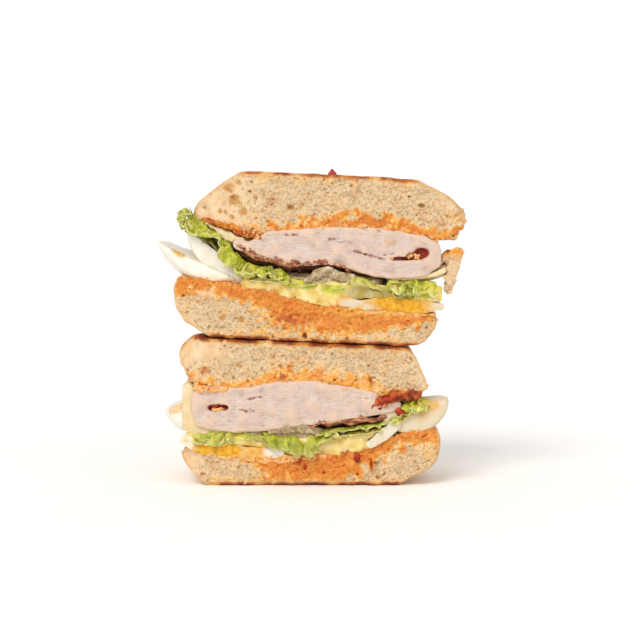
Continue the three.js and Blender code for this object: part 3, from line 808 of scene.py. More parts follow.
def off_path(across, up, path):
    """How far places are from a path, and how far along it their nearest place is, from 0 to 1."""
    path = smooth_path(path, 80)
    far = np.full(across.shape, 1e3, np.float32)
    share = np.zeros(across.shape, np.float32)
    for i, ((ax, az), (bx, bz)) in enumerate(zip(path, path[1:])):
        along = ((across - ax) * (bx - ax) + (up - az) * (bz - az)) / ((bx - ax) ** 2 + (bz - az) ** 2)
        along = np.clip(along, 0, 1)
        found = np.hypot(across - ax - along * (bx - ax), up - az - along * (bz - az))
        share = np.where(found < far, (i + along) / (len(path) - 1), share)
        far = np.minimum(far, found)
    return far, share


def fold_turkey(half, fold, hollows, slits, seed, outer=None):
    """The folded turkey of a half: thin slices that run round the fold and lie on each other inside it.
    hollows are open places at the cut, as across, up, reach across, reach deep and reach up, and slits are
    lines of small ones. outer is the path of more slices over the fold, 5 mm thick."""
    nodes = [f"{half}_turkey_{part}" for part in ("wrap", "pile_high", "pile_low")]
    block = Block(FILLING_CELL, nodes)
    block.run_through()
    fold_x, fold_z = placed(half, *hollows[0][:2])
    # Slices press together inside the fold.
    block.lump((fold_x - 0.6, CUT + 29, fold_z - 0.6), (6.2, 50, 4.6))
    if outer:
        slice_depth = (off_path(*block.own(half), outer)[0] - 2.5)[:, None, :]
        block.depth = np.minimum(block.depth, np.maximum(slice_depth, block.y - CUT - 50))
    block.close(2.4)
    block.grow(0.4)
    block.soften(1.3)
    block.depth += 0.15 * block.bumps(7, seed)
    side = block.depth.copy()
    across, up = block.own(half)
    layer = off_path(across, up, fold)[0] / SLICE
    ridges = 0.06 * np.cos(2 * np.pi * layer) * ramp(block.front_bumps(5, seed + 1), -0.5, 0.8)
    relief = -0.5 + 0.35 * block.front_bumps(10, seed + 2) + 0.1 * block.front_bumps(2, seed + 3) + ridges
    block.cut(relief)
    rng = np.random.default_rng(seed + 4)
    deep = []
    for x, z, reach_x, reach_y, reach_z in hollows:
        at_x, at_z = placed(half, x, z)
        block.hollow((at_x, CUT, at_z), (reach_x, reach_y, reach_z))
        deep.append(((at_x, CUT + 2, at_z), (reach_x * 1.06 + 0.1, 12, reach_z * 1.06 + 0.1), 1.0))
    for line, height, redness in slits:
        for x, z in smooth_path(line, max(int(np.ptp(np.array(line)[:, 0]) / 0.6), 3)):
            at_x, at_z = placed(half, x, z + rng.normal(0, 0.08))
            reach = height * rng.uniform(-0.4, 1.2)
            if reach < 0.1:
                continue
            block.hollow((at_x, CUT - 0.4, at_z), (0.7 + 0.6 * reach, 1.2, reach))
            if rng.uniform() < redness:
                deep.append(((at_x, CUT, at_z), (0.9, 2.6, reach + 0.3), 0.55))
    shape = points, _, _ = block.surface(MEDIUM)
    hole = np.zeros(len(points))
    for at, reach, redness in deep:
        hole = np.maximum(hole, redness * ramp(np.linalg.norm((points - at) / reach, axis=1), 1.1, 0.85))
    piece(
        f"{half}_turkey_folded", shape, "turkey", nodes,
        layer=block.read(layer, points), rim=ramp(block.read(side, points), -1.1, -0.2), deep=hole,
    )


fold_turkey(
    "upper",
    [(14, 52), (32, 51.4), (46, 49.7), (55, 46.8), (57, 42.6), (53.4, 38.2), (42.2, 34.9), (30.4, 35.4),
     (17, 38.5), (6.7, 40.4), (-7.4, 39.3), (-20.6, 41.1), (-31, 43), (-39, 45)],
    [(49.6, 44.2, 3.5, 3.4, 2.3), (47.0, 42.6, 4.6, 2.6, 1.7), (41.4, 41.2, 6.4, 2.2, 0.8)],
    [([(18.3, 43.6), (26.2, 41.8), (32, 40.6), (38.5, 40.4)], 0.42, 0.7),
     ([(30, 42.4), (37, 43.2)], 0.3, 0.4), ([(6.3, 48.8), (14.2, 49.1)], 0.22, 0.5),
     ([(8, 47.3), (15.8, 47.7)], 0.16, 0.2), ([(-15.7, 49.8), (-9.4, 50.1)], 0.3, 0.9),
     ([(22, 47.5), (34, 46.6)], 0.14, 0.1), ([(-22, 45.5), (-8, 44.4)], 0.1, 0),
     ([(13.9, 54.6), (17, 54.9)], 0.3, 0.6)], 101
)
fold_turkey(
    "lower",
    [(-8, 46.2), (-21, 45.6), (-30, 43.8), (-38, 41.8), (-46, 43), (-52.4, 38.5), (-51.2, 32.4), (-41, 29),
     (-23.5, 29.3), (-5.6, 32), (13.2, 34.2), (30.1, 36.2), (41.4, 37.8)],
    [(-46.4, 37.0, 2.7, 2.4, 1.5), (-44, 37.1, 2.7, 2.4, 1.5), (-41.8, 37.2, 2.4, 2.2, 1.35)],
    [([(-33.8, 36.4), (-30, 35.2), (-27.6, 35.4)], 0.5, 0.5), ([(-32.3, 40.7), (-24.4, 42.1)], 0.28, 0.4),
     ([(-12, 38.6), (4, 39.4)], 0.1, 0), ([(12, 41), (26, 41.6)], 0.1, 0),
     ([(-38, 32.6), (-18, 33)], 0.12, 0)], 121,
    outer=[(-34, 43.4), (-44, 44.4), (-51.6, 44.4), (-54, 41.4), (-54, 35), (-52.8, 30.8), (-47, 29)]
)

# ---- Egg ----------------------------------------------------------------------------------------------


def near(points, half, places, start, end):
    """1 near places, which are across, up and two reaches, and 0 away from them. start and end are shares of
    these."""
    found = np.zeros(len(points))
    for x, z, reach_x, reach_z in places:
        at_x, at_z = placed(half, x, z)
        far = np.hypot((points[:, 0] - at_x) / reach_x, (points[:, 2] - at_z) / reach_z)
        found = np.maximum(found, ramp(far, start, end))
    return found


def in_yolk(points, half, yolks, seed, blur):
    """How far points are in a yolk. Each yolk is across, behind the cut, up, its three reaches and its tilt,
    and blur is how soft its edge is."""
    rng = np.random.default_rng(seed)
    found = np.zeros(len(points))
    for x, y, z, reach_x, reach_y, reach_z, tilt in yolks:
        at_x, at_z = placed(half, x, z)
        a = np.radians(tilt)
        dx, dz = points[:, 0] - at_x, points[:, 2] - at_z
        far = np.sqrt(
            ((dx * np.cos(a) + dz * np.sin(a)) / reach_x) ** 2
            + ((points[:, 1] - CUT - y) / reach_y) ** 2
            + ((dz * np.cos(a) - dx * np.sin(a)) / reach_z) ** 2
        )
        far += 0.05 * np.sin(points[:, 0] * 2.1 + rng.uniform(0, 6)) * np.sin(points[:, 2] * 2.7)
        found = np.maximum(found, ramp(far, 1 + blur, 1 - blur))
    return found


def finish_egg(node, block, yolks, seed, whites=None, tone=0.0, rich=1.0, blur=0.08, dull=0.1, rest=-99.0):
    """Makes the slice of egg that replaces a node from its block. Where whites are listed, as across, up and
    two reaches, the white is only clean there, and smeared with sauce and yolk elsewhere. tone is how much of
    that colour it has all over, rich and blur are how strong the yolk is and how soft its edge, the shade
    value is how much painted shade greys the white where the slice sits in shade, and rest is the height it
    rests at, where it has picked up sauce."""
    half = node[:5]
    shape = points, _, _ = block.surface(FINE)
    yolk = rich * in_yolk(points, half, yolks, seed, blur)
    points[:, 1] += 0.35 * yolk * ramp(points[:, 1], CUT + 1.5, CUT + 0.5)
    stain = 1 - near(points, half, whites, 1.25, 0.65) if whites else 0
    level = own(half, points[:, 0], points[:, 2])[1]
    stain = np.maximum(stain, tone + 0.5 * ramp(level, rest + 4.5, rest)) * (1 - yolk)
    piece(node + "_sliced", shape, "egg", [node], yolk=yolk, stain=stain, dull=dull)


def leaning_egg(node, at, reach, past, tilt, lean, yolks, seed, front=0.0, end=None, **finish):
    """The outer part of a boiled egg below a flat cut, which passes past mm below the egg's middle, tilts
    across the panini and leans towards the front. at is the middle of the flat cut, and end is how far across
    the egg may reach."""
    at_x, at_z = placed(node[:5], at[0], at[2])
    centre = np.array((at_x, CUT + at[1], at_z))
    size = np.full(3, max(reach) + 1)
    block = Block(EGG_CELL, box=(centre - size, centre + size))
    x, y, z = block.x - centre[0], block.y - centre[1], block.z - centre[2]
    a, b = np.radians(tilt), np.radians(lean)
    along = x * np.cos(a) + z * np.sin(a)
    rise = z * np.cos(a) - x * np.sin(a)
    flat_up = rise * np.cos(b) - y * np.sin(b)
    far = np.sqrt((along / reach[0]) ** 2 + (y / reach[1]) ** 2 + ((flat_up - past) / reach[2]) ** 2)
    block.depth = np.maximum((far - 1) * min(reach), flat_up).astype(np.float32)
    if end is not None:
        block.depth = np.maximum(block.depth, block.x - end)
    block.soften(0.6)
    block.depth += 0.08 * block.bumps(6, seed)
    block.cut(np.full((1, 1), front))
    finish_egg(node, block, yolks, seed, blur=0.16, **finish)


leaning_egg(
    "upper_egg_end", (-54.1, 12, 36.1), (26.6, 20, 21), 10.5, -24.5, 5, [(-65.2, 1, 40.3, 4.8, 5, 1.7, -40)],
    211, rich=0.9, rest=26.6
)
leaning_egg(
    "upper_egg_back", (-42.5, 9, 38.2), (24.5, 17, 17), 6.5, -37, 3, [(-54, 8, 44, 3, 3, 1.5, -36)], 213,
    front=3, tone=0.02, rich=0.75, dull=0.0, rest=26
)
leaning_egg(
    "lower_egg_end", (47.5, 8, 38.4), (17.6, 16, 14.4), 0, 10, 3, [(52.6, 0, 38.2, 7.2, 5, 4.4, 8)], 215,
    front=0.4, tone=0.12, rich=0.75, dull=0.62
)
leaning_egg(
    "lower_egg_side", (-57, 14, 41.2), (15.4, 14, 14), -3.4, 25, 3, [(-64, 3, 36.8, 6, 6, 2.4, 32)], 207,
    front=3, tone=0.04, end=-54, rich=0.6, dull=0.0
)

# ---- Slices that lie across the sandwich --------------------------------------------------------------


def laid(
    half, path, thickness, back, seed, cell=SLICE_CELL, soft=0.35, rough=0.1, front=0.0, wave=0.0, disc=None,
    swell=0.0
):
    """A slice along a path across a half, running back from the cut. thickness is its thickness in mm at even
    places along the path, wave is how much it undulates, and disc rounds its outline: its middle behind the
    cut and its reach. swell is how much it thickens a little behind the cut, where it rests on its
    neighbours."""
    at_x, at_z = placed(half, *np.asarray(path, float).T)
    margin = max(thickness) + swell + 1
    low = np.array([at_x.min() - margin, CUT - 2.5, at_z.min() - margin])
    high = np.array([at_x.max() + margin, CUT + back, at_z.max() + margin])
    block = Block(cell, box=(low, high))
    across, up = block.own(half)
    far, share = off_path(across, up, path)
    held = curve_through(thickness, 0, 1)(share) / 2
    block.depth = np.broadcast_to((far - held)[:, None, :], block.depth.shape).astype(np.float32).copy()
    block.depth -= swell * ramp(block.y, CUT + 2.5, CUT + 7)
    if wave:
        block.depth += wave * block.bumps(7, seed)
    block.depth += rough * block.bumps(2.4, seed + 1)
    if disc:
        middle = np.mean(at_x)
        far = np.hypot((block.x - middle) / (np.ptp(at_x) / 2 + 0.6), (block.y - CUT - disc[0]) / disc[1])
        block.depth = np.maximum(block.depth, (far - 1) * disc[1])
    block.depth = np.maximum(block.depth, block.y - CUT - back)
    block.soften(soft)
    block.cut(front + rough * block.front_bumps(3, seed + 2))
    return block


def lay(name, slot, nodes, path, thickness, back, seed, ripe=0.0, **given):
    """Makes a slice along a path. Its material is told how ripe it is, and how far behind the cut each place
    is."""
    shape = points, _, _ = laid(name[:5], path, thickness, back, seed, **given).surface(COARSE)
    # How far behind the cut each place is, which the bacon darkens as painted shade.
    piece(name, shape, slot, nodes, ripe=ripe, back=ramp(points[:, 1], CUT + 0.6, CUT + 4.5))


finish_egg(
    "lower_egg_strip",
    laid("lower", [(27.2, 19.4), (33, 23.6), (39, 28.6)], (3.8, 5.4, 5.6), 18, 205, soft=0.4, wave=0.12,
         front=-1.3), [], 206, dull=0.5
)
finish_egg(
    "upper_egg_flat",
    laid("upper",
         [(11.5, 19.6), (17, 19.6), (22, 18.2), (27, 19.4), (34, 19.6), (42, 19.3), (50, 19), (57, 19.4),
          (61.5, 19)], (3.6, 5, 5, 5.6, 6.4, 6.6, 6.2, 5, 2.0), 26, 217, soft=0.6, wave=0.3, front=-0.3,
         disc=(3, 22)), [(40.4, 3, 20, 15.5, 14, 8, -20)], 218,
    [(17.8, 19.4, 6.4, 2.1), (25.6, 16.8, 2.6, 2.4), (59.6, 18.8, 5.2, 3.4)], 0.12, blur=0.3, dull=0.66
)
finish_egg(
    "lower_egg_flat",
    laid("lower",
         [(-60.5, 21.4), (-57.6, 21), (-52, 18), (-43, 16.8), (-34, 16), (-27, 15.4), (-18, 16),
          (-11.5, 15.6)], (4.4, 6.4, 7, 7, 6, 4.6, 5.6, 3), 26, 219, soft=0.6, wave=0.3, disc=(3, 22)),
    [(-44, 3, 16.8, 12.2, 14, 9, 0)], 220, [(-59.5, 21.2, 4.2, 5), (-17.2, 16, 6, 2.8)], 0.08, blur=0.18
)

lay(
    "upper_cheese_fold_slice", "cheese", ["upper_cheese_fold_end"],
    [(36, 31.4), (44, 31.8), (50, 32.8), (56, 34.4), (60.4, 36.4)], (1.0, 1.2, 1.5, 2.0, 2.6), 56, 301,
    front=0.7, swell=1.6
)
lay(
    "upper_cheese_egg_slice", "cheese", ["upper_cheese_egg_end"],
    [(-52.5, 54.3), (-47.5, 51.6), (-43.9, 49.6), (-39, 47.2), (-35.9, 45.6), (-31, 43.2), (-24, 40.5),
     (-12, 38)], (1.0, 2.6, 3.8, 4.4, 4.2, 3.2, 2.2, 1.4), 56, 303, front=0.7, rough=0.25, wave=0.3, swell=2.2
)
lay(
    "lower_cheese_fold_slice", "cheese", ["lower_cheese_fold_end"],
    [(-58.4, 45.6), (-58.3, 36), (-58.1, 30), (-56, 26.8), (-48, 26.4), (-36, 27), (-28, 27.4)],
    (5.2, 5.8, 6, 5, 3.4, 2.6, 1.4), 54, 305, front=1.1, wave=0.14, swell=0.6
)
lay(
    "upper_tomato_shred", "tomato", ["upper_tomato_strip"],
    [(-53.1, 55.4), (-46, 53.8), (-39.3, 52.2), (-35, 50.4), (-31, 49.2), (-25, 48)],
    (1.8, 2.2, 2.6, 3.4, 2.8, 1.2), 22, 311, rough=0.4, front=-0.3, ripe=0.16
)
lay(
    "lower_tomato_shred", "tomato", ["lower_tomato_strip"],
    [(29, 38.2), (34, 40.2), (39, 42.6), (44, 42.8), (49.6, 42.8)], (1.8, 5, 5, 5, 3.2), 20, 313, rough=0.4,
    wave=0.5, front=-1.1, ripe=0.7
)
lay(
    "upper_bacon_rasher", "bacon", ["upper_bacon"],
    [(-36.5, 43.6), (-34.1, 42.5), (-30.5, 40.6), (-27.7, 39.4), (-24.5, 38.6), (-21.4, 37.5), (-18, 37.4),
     (-15.1, 36.8), (-11, 36.6), (-7.2, 36.4), (-1, 37.2), (4, 38), (10, 37), (16, 35.2), (22, 33.8),
     (30, 32.4)], (1.2, 3.4, 2.0, 0.6, 3.8, 2.4, 0.6, 2.4, 1.6, 0.4, 0.2, 0.2, 0.2), 44, 315, rough=0.4,
    wave=0.5, front=-1.1, swell=3.0
)
lay(
    "lower_bacon_rasher", "bacon", ["lower_bacon"],
    [(-1, 28.6), (4, 30.2), (9, 29.4), (14, 31), (19, 30.2), (24, 31.6), (29, 31), (34, 33)],
    (1.4, 2.4, 2.4, 2.2, 2.4, 2.2, 2.4, 1.6), 44, 317, rough=0.25, wave=0.35, front=-0.3, swell=2.2
)
lay(
    "upper_pickle_slice_high", "pickle", ["upper_pickle_high"],
    [(-7, 28.4), (-3, 29.6), (1, 32), (4, 33.6), (8, 33), (12, 31.6), (17, 31), (22, 30)],
    (1.6, 2.6, 4.2, 5, 5, 4.4, 3.4, 2), 22, 321, front=-0.3, soft=0.7, wave=0.35, disc=(8, 14)
)
lay(
    "upper_pickle_slice_low", "pickle", ["upper_pickle_low"],
    [(-16, 28.6), (-4, 28.4), (8, 29.4), (20, 28.6), (34, 28.8)], (3, 4, 4.2, 3.8, 3), 36, 323, front=1.2,
    soft=0.6, wave=0.3, disc=(16, 24), swell=2
)
lay(
    "lower_pickle_slice_high", "pickle", ["lower_pickle_high"],
    [(-23, 25.4), (-15, 26.6), (-8, 27.4), (-2, 26.6), (6, 25)], (2.6, 4, 4.8, 4, 2.4), 22, 325, front=-0.2,
    soft=0.7, wave=0.35, disc=(8, 14)
)
lay(
    "lower_pickle_slice_low", "pickle", ["lower_pickle_low"],
    [(-38, 26), (-26, 25), (-14, 23.6), (0, 23.4), (10, 24.4)], (2.8, 3.6, 4, 3.8, 3), 36, 327, front=1.4,
    soft=0.6, wave=0.3, disc=(16, 24), swell=1
)

# ---- Lettuce ------------------------------------------------------------------------------------------

LEAF_STEP = 0.4  # mm from one point of a leaf to the next, across the panini
CREASE_STEP = 0.35  # mm from one point to the next near its front edge


def rib_bed(node, greens, seed, tans, floor):
    """The pale rib end of a leaf, cut through. greens and tans are places where it turns green, and where
    sauce has browned it: across, up and two reaches. floor is the line of the egg it lies on."""
    half = node[:5]
    block = Block(FILLING_CELL, [node])
    block.run_through(3)
    block.soften(0.6)
    across, up = block.own(half)
    block.depth += 0.3 * block.bumps(7, seed) - 0.9
    under = np.interp(across, *zip(*floor)) - up
    block.depth = np.maximum(block.depth, under[:, None, :].astype(np.float32))
    block.cut(0.5 + 0.45 * block.front_bumps(8, seed + 1) + 0.16 * block.front_bumps(2.5, seed + 2))
    shape = points, _, _ = block.surface(COARSE)
    green, tan = (near(points, half, places, 1.3, 0.6) for places in (greens, tans))
    piece(node + "_rib", shape, "lettuce", [node], rib=1 - green, dark=0.5 * tan)


rib_bed(
    "upper_lettuce_low", [(-8, 27.4, 6, 2), (-3.7, 26.4, 5, 1.6), (8.9, 25.4, 6, 2.2), (46, 27, 13, 4.5)],
    401, [(26, 24, 13, 4)], [(2, 0), (12, 19.5), (30, 20.4), (44, 20.4), (62, 20)]
)
rib_bed(
    "lower_lettuce_low", [(-46, 23, 12, 3), (-14, 18, 6, 3)], 403, [(-20, 23.6, 6, 3)],
    [(-62, 21.4), (-52, 18.6), (-34, 16.4), (-20, 16), (-12, 15.4), (-4, 0)]
)


def leaf(
    name, path, seed, nodes=(), back=20.0, front=-1.5, hang=(-3.0, -3.0), ruffle=1.6, wave=11.0, frill=0.5,
    rib=0.2, thick=0.6, sway=0.9, dark=0.0, turned=False
):
    """A ruffled leaf along a path across the panini, running back from the cut. Its front edge hangs by hang
    mm, given at even places, and waves by ruffle mm every wave mm, with finer waves of frill mm at its very
    edge, which is paler: partly the leaf's own margin and partly a painted highlight. rib is how pale it is,
    and dark how much darker: its own darker tone on most leaves, and painted shade on a leaf hidden inside a
    fold. Painted shade also darkens the furrows of its ruffles. A turned leaf runs the other way, and its
    front edge is behind the panini."""
    length = np.sum(np.linalg.norm(np.diff(np.asarray(path, float), axis=0), axis=1))
    steps = int(length / LEAF_STEP)
    line = smooth_path(path, steps)
    tangent = np.gradient(line, axis=0)
    tangent /= np.linalg.norm(tangent, axis=1)[:, None]
    run = np.concatenate([np.arange(0, 6, CREASE_STEP), np.geomspace(6, back, 14)])
    s = np.linspace(0, length, steps)[:, None]  # how far along the front edge
    v = run[None, :]  # how far behind it
    broad = bumps((steps, 2 * len(run)), LEAF_STEP, 1.6 * wave, seed, 0.6)[:, ::2]
    small = bumps((steps, 2 * len(run)), LEAF_STEP, 3.2, seed + 1)[:, ::2]
    edge = np.exp(-v / 4.0)
    end = 0.7 * np.exp((v - back) / 4.0)
    turn = 2 * np.pi * s / wave + 1.6 * broad
    fine_turn = 2 * np.pi * s / (0.36 * wave) + 1.2 * small + 2 * broad
    tall = 1 + 0.35 * broad
    lift = ruffle * tall * (0.2 + edge + end) * np.sin(turn) + frill * np.exp(-v / 2.0) * np.sin(fine_turn)
    lift += curve_through(hang, 0, length)(s) * (1 + 0.15 * broad) * ramp(v, 5, 0)
    slide = 1.5 * edge * np.cos(turn) + 0.6 * np.exp(-v / 2.0) * np.cos(fine_turn)
    share = 0.5 + (s / length - 0.5) * (1 - 0.3 * (v / back) ** 2)  # the leaf is rounder at its end
    even = np.linspace(0, 1, steps)
    line, tangent = (np.stack([np.interp(share, even, way[:, i]) for i in (0, 1)]) for way in (line, tangent))
    x, z = placed(name[:5], *(line + np.stack([-tangent[1], tangent[0]]) * lift + tangent * slide))
    coarse, fine = (bumps((steps, 8), LEAF_STEP, *given)[:, :1] for given in ((5, seed + 2), (1.5, seed + 3)))
    y = v + (0.8 * coarse + 0.3 * fine + sway * np.sin(turn + 1)) * np.exp(-v / 5) + 0 * s
    crease = np.sin(2 * np.pi * v / 2.7 + 2.6 * broad + 0.5 * turn)
    y = y + 0.6 * ruffle * crease * ramp(v, 8, 1.5) * ramp(v, 0, 1)
    y = CUT + front + (-y if turned else y)
    places = np.stack([x, y, z], axis=2)
    out = np.cross(np.gradient(places, axis=0), np.gradient(places, axis=1))
    out /= np.maximum(np.linalg.norm(out, axis=2), 1e-6)[:, :, None]
    thin = 0.5 * thick * (0.5 + 0.5 * ramp(v, 0, 1.2))[:, :, None]
    points = np.concatenate([(places + out * thin).reshape(-1, 3), (places - out * thin).reshape(-1, 3)])
    n, m = steps, len(run)
    index = np.arange(n * m).reshape(n, m)
    top = np.stack([index[:-1, :-1], index[1:, :-1], index[1:, 1:], index[:-1, 1:]], axis=-1).reshape(-1, 4)
    ring = np.concatenate([index[:, 0], index[-1, 1:], index[-2::-1, -1], index[0, -2:0:-1]])
    after = np.roll(ring, -1)
    rim = np.stack([after, ring, ring + n * m, after + n * m], axis=-1)
    quads = np.concatenate([top, top[:, ::-1] + n * m, rim])
    if turned:
        quads = quads[:, ::-1]
    pale = np.clip(rib + 0.2 * broad + 0.4 * ramp(v, 5, 16), 0, 1).reshape(-1)
    # A paler front edge, partly the leaf's own margin and partly painted highlight.
    margin = (np.exp(-v / 0.7) + 0 * s).reshape(-1)
    # Painted shade in the furrows of the ruffles, less near the front edge.
    furrow = ramp(np.sin(turn), 0.2, -0.9)
    shade = np.clip(dark + 0.34 * furrow * (1 - 0.5 * edge), 0, 1).reshape(-1)
    shape = points, np.zeros((0, 3), int), quads
    piece(
        name, shape, "lettuce", nodes, rib=np.tile(pale, 2), edge=np.tile(margin, 2), dark=np.tile(shade, 2)
    )


leaf(
    "upper_lettuce_band",
    [(-60, 58), (-56.6, 55.4), (-52, 52.4), (-47.6, 50), (-43.6, 46.8), (-40.2, 43), (-37.4, 39.6),
     (-34, 36.6), (-29, 34.4), (-23, 34.8), (-16.5, 33), (-10.9, 29.6)], 411, ["upper_lettuce_high"], back=58,
    front=-2.2, hang=(-2, -6.4, -4.4, -0.2, -3.4, -6, -5, -3.6, -4.6, -4, -1), ruffle=1.3, wave=7.5,
    frill=0.35, sway=1.6, rib=0.0, thick=0.5
)
# This leaf's darkness is painted shade, for the shadowed hollow inside the fold.
leaf(
    "upper_lettuce_band_inner",
    [(-58, 52), (-53, 48.4), (-48.4, 45.4), (-44, 41), (-40.6, 37.4), (-35, 34), (-27, 31.4), (-14, 29.4)],
    413, back=40, front=2.2, hang=(-1.6, -1.6, -1.6), ruffle=0.5, wave=10, frill=0.1, rib=0.0, dark=0.6
)
leaf(
    "upper_lettuce_tip", [(-59, 50.6), (-61.4, 49.8), (-63.8, 52.4), (-65.2, 56), (-63.4, 59), (-60.6, 60.2)],
    415, back=9, front=-1.6, hang=(-1, -2.2, -1.4), ruffle=1.0, wave=4.4, frill=0.35, rib=0, dark=0.12
)
leaf(
    "upper_lettuce_low_tip", [(-33.4, 29), (-28, 29.6), (-21, 30), (-14, 29.6), (-8, 28)], 416, back=30,
    front=-0.6, hang=(-0.6, -2.6, -3, -2, -0.6), ruffle=0.4, wave=12, frill=0.15, rib=0.75
)
leaf(
    "upper_lettuce_middle", [(-11, 29), (-4, 28.6), (4, 28.2), (12, 28.8), (17, 29.6)], 417, back=16,
    front=-0.4, hang=(-1, -2.2, -1.2, -2, -0.8), ruffle=0.4, wave=9, frill=0.15, rib=0.35
)
leaf(
    "upper_lettuce_curl", [(15, 31.6), (20, 32), (24.5, 31), (28, 29), (33, 26)], 419, back=12, front=-1.8,
    hang=(-1.8, -3, -2.6, -1), ruffle=0.7, wave=11, frill=0.15, rib=0.55
)
leaf(
    "upper_lettuce_curl_end", [(34.6, 26), (34.2, 28.6), (35.6, 31), (38.6, 31)], 420, back=12, front=-2,
    hang=(-1.2, -1.8, -1), ruffle=0.5, wave=6, frill=0.2, rib=0.3
)
leaf(
    "upper_lettuce_frill", [(36.6, 30), (42, 31.4), (49, 31.4), (57.5, 30)], 421, back=25, front=-2,
    hang=(-2.6, -5, -3.8), ruffle=1.4, wave=8, frill=0.3, sway=1.4, rib=0.22, dark=-0.14
)
leaf(
    "upper_lettuce_frill_inner", [(36, 27), (44, 27.4), (56, 26.8)], 423, back=20, front=-1.4,
    hang=(-1.6, -3, -2), ruffle=1.2, wave=7, frill=0.25, rib=0.05
)
leaf(
    "lower_lettuce_band",
    [(47, 38.6), (43.4, 36), (39, 32.4), (31, 29.4), (22.6, 27.8), (10.8, 26.4), (2, 24.6)], 431,
    ["lower_lettuce_high"], back=58, hang=(1.2, 1.4, 1.4), ruffle=0.8, wave=8, frill=0.25, sway=1.0, rib=0.1
)
leaf(
    "lower_lettuce_fringe", [(40, 36.4), (44, 38.8), (48, 40.2), (52, 40.4), (55.4, 39.6)], 432, back=10,
    front=-1.4, hang=(-2, -4, -4, -2.6), ruffle=1.0, wave=5.4, frill=0.35, rib=0
)
leaf(
    "lower_lettuce_band_inner", [(46, 35.4), (39, 30), (31, 26.8), (20, 25), (8, 23.8)], 433, back=30,
    front=-1.0, hang=(1.2, 1.4, 1), ruffle=0.5, wave=12, frill=0.15, rib=0.6
)
leaf(
    "lower_lettuce_middle", [(-23, 25.6), (-17, 23.8), (-8, 23.2), (1, 23.6), (9, 24.6)], 435, back=20,
    front=-2.8, hang=(-2, -5.6, -7.4, -5.4, -1.4), ruffle=0.5, wave=10, frill=0.2, rib=-0.1, sway=0.8,
    dark=0.22
)
leaf(
    "upper_lettuce_back", [(57, 27.4), (42, 28.4), (22, 29.2), (4, 30), (-14, 32), (-30, 35.6)], 441, back=18,
    front=62.5, hang=(-3, -4.4, -3, -4.6, -3.4, -3), ruffle=1.2, wave=8, frill=0.3, rib=0.1, turned=True
)
leaf(
    "lower_lettuce_back", [(-55, 25), (-40, 26.6), (-20, 25.2), (0, 26), (20, 28.6), (40, 33.6)], 443,
    back=18, front=62.5, hang=(-3, -4.6, -3.6, -4.4, -3, -2.4), ruffle=1.2, wave=8, frill=0.3, rib=0.1,
    turned=True
)
leaf(
    "lower_lettuce_frill", [(-57, 24.4), (-48, 26.2), (-40, 26.4), (-30, 25.4), (-23, 24)], 437, back=25,
    front=-1.6, hang=(-2, -5.2, -5, -4, -2), ruffle=0.8, wave=8, frill=0.15, rib=0.22, sway=0.8, dark=0.06
)

# ---- Sauce, crumbs and the pick -----------------------------------------------------------------------


def lumps(name, slot, seed, lines, soft=0.0):
    """Small lumps along lines. Each line is its path, how many lumps, how far they stray, their size and how
    far behind the cut they lie. soft is how much they run together."""
    rng = np.random.default_rng(seed)
    places = []
    for path, count, stray, size, behind in lines:
        line = smooth_path(path, 200)
        for i in rng.integers(0, len(line), count):
            x, z = placed(name[:5], *(line[i] + rng.normal(0, stray, 2)))
            reach = size * np.exp(rng.normal(0, 0.3)) * rng.uniform(0.7, 1.2, 3)
            places.append(((x, CUT + behind + rng.uniform(-0.5, 1.0), z), reach))
    low = np.min([np.array(at) - reach for at, reach in places], axis=0)
    high = np.max([np.array(at) + reach for at, reach in places], axis=0)
    block = Block(LUMP_CELL, box=(low, high))
    for at, reach in places:
        block.lump(at, reach)
    if soft:
        block.soften(soft)
    block.depth += 0.12 * block.bumps(1.3, seed + 1)
    piece(name, block.surface(least=0), slot, ripe=1.0)


lay(
    "upper_sauce_smear", "sauce", (), [(2, 19.8), (12, 18.2), (22, 16.4), (32, 15.4), (44, 15), (57, 15.4)],
    (1.4, 2.8, 3.4, 3, 2.2, 1.4), 30, 511, soft=0.5, rough=0.25, wave=0.3, front=0.5
)
lay(
    "lower_sauce_smear", "sauce", (),
    [(-52, 15.4), (-44, 13.8), (-34, 13.2), (-24, 12.8), (-14, 12.6), (-4, 13.2), (6, 14)],
    (1.0, 1.8, 2.8, 3.6, 4, 3.4, 1.6), 30, 513, soft=0.5, rough=0.25, wave=0.3, front=0.3
)
lay(
    "upper_sauce_bed", "sauce", (),
    [(-30, 50.6), (-20, 51.6), (-8, 52.4), (4, 54), (14, 55.4), (30, 55), (44, 53), (56, 50.4)],
    (1.6, 2.8, 2.8, 2.8, 2.8, 2.8, 2.8, 2), 52, 515, cell=0.6, soft=0.4, rough=0.35, wave=0.3, front=0.9
)
lay(
    "lower_sauce_bed", "sauce", (),
    [(-54, 45.4), (-42, 45.4), (-34, 46), (-21, 48.4), (4, 48.2), (8, 46.4), (30, 44), (45, 44.6)],
    (2.4, 2.8, 2.8, 2.8, 2.8, 3.2, 2.8, 2), 52, 517, cell=0.6, soft=0.4, rough=0.35, wave=0.3, front=0.9
)
lumps(
    "upper_sauce", "sauce", 501,
    [([(-22, 51.6), (-10, 52.2), (4, 54), (14, 55.6), (30, 55.2), (44, 53), (57, 50)], 60, 0.7, 0.55, 0.4),
     ([(44.2, 43.4), (48, 42.0)], 22, 0.8, 0.6, 0.4), ([(33, 39.8), (38, 42.6)], 14, 0.6, 0.4, -0.5),
     ([(32, 48.6), (35.6, 49)], 8, 0.5, 0.45, -0.7), ([(-36, 51), (-26, 48.6)], 14, 0.6, 0.5, -0.4)]
)
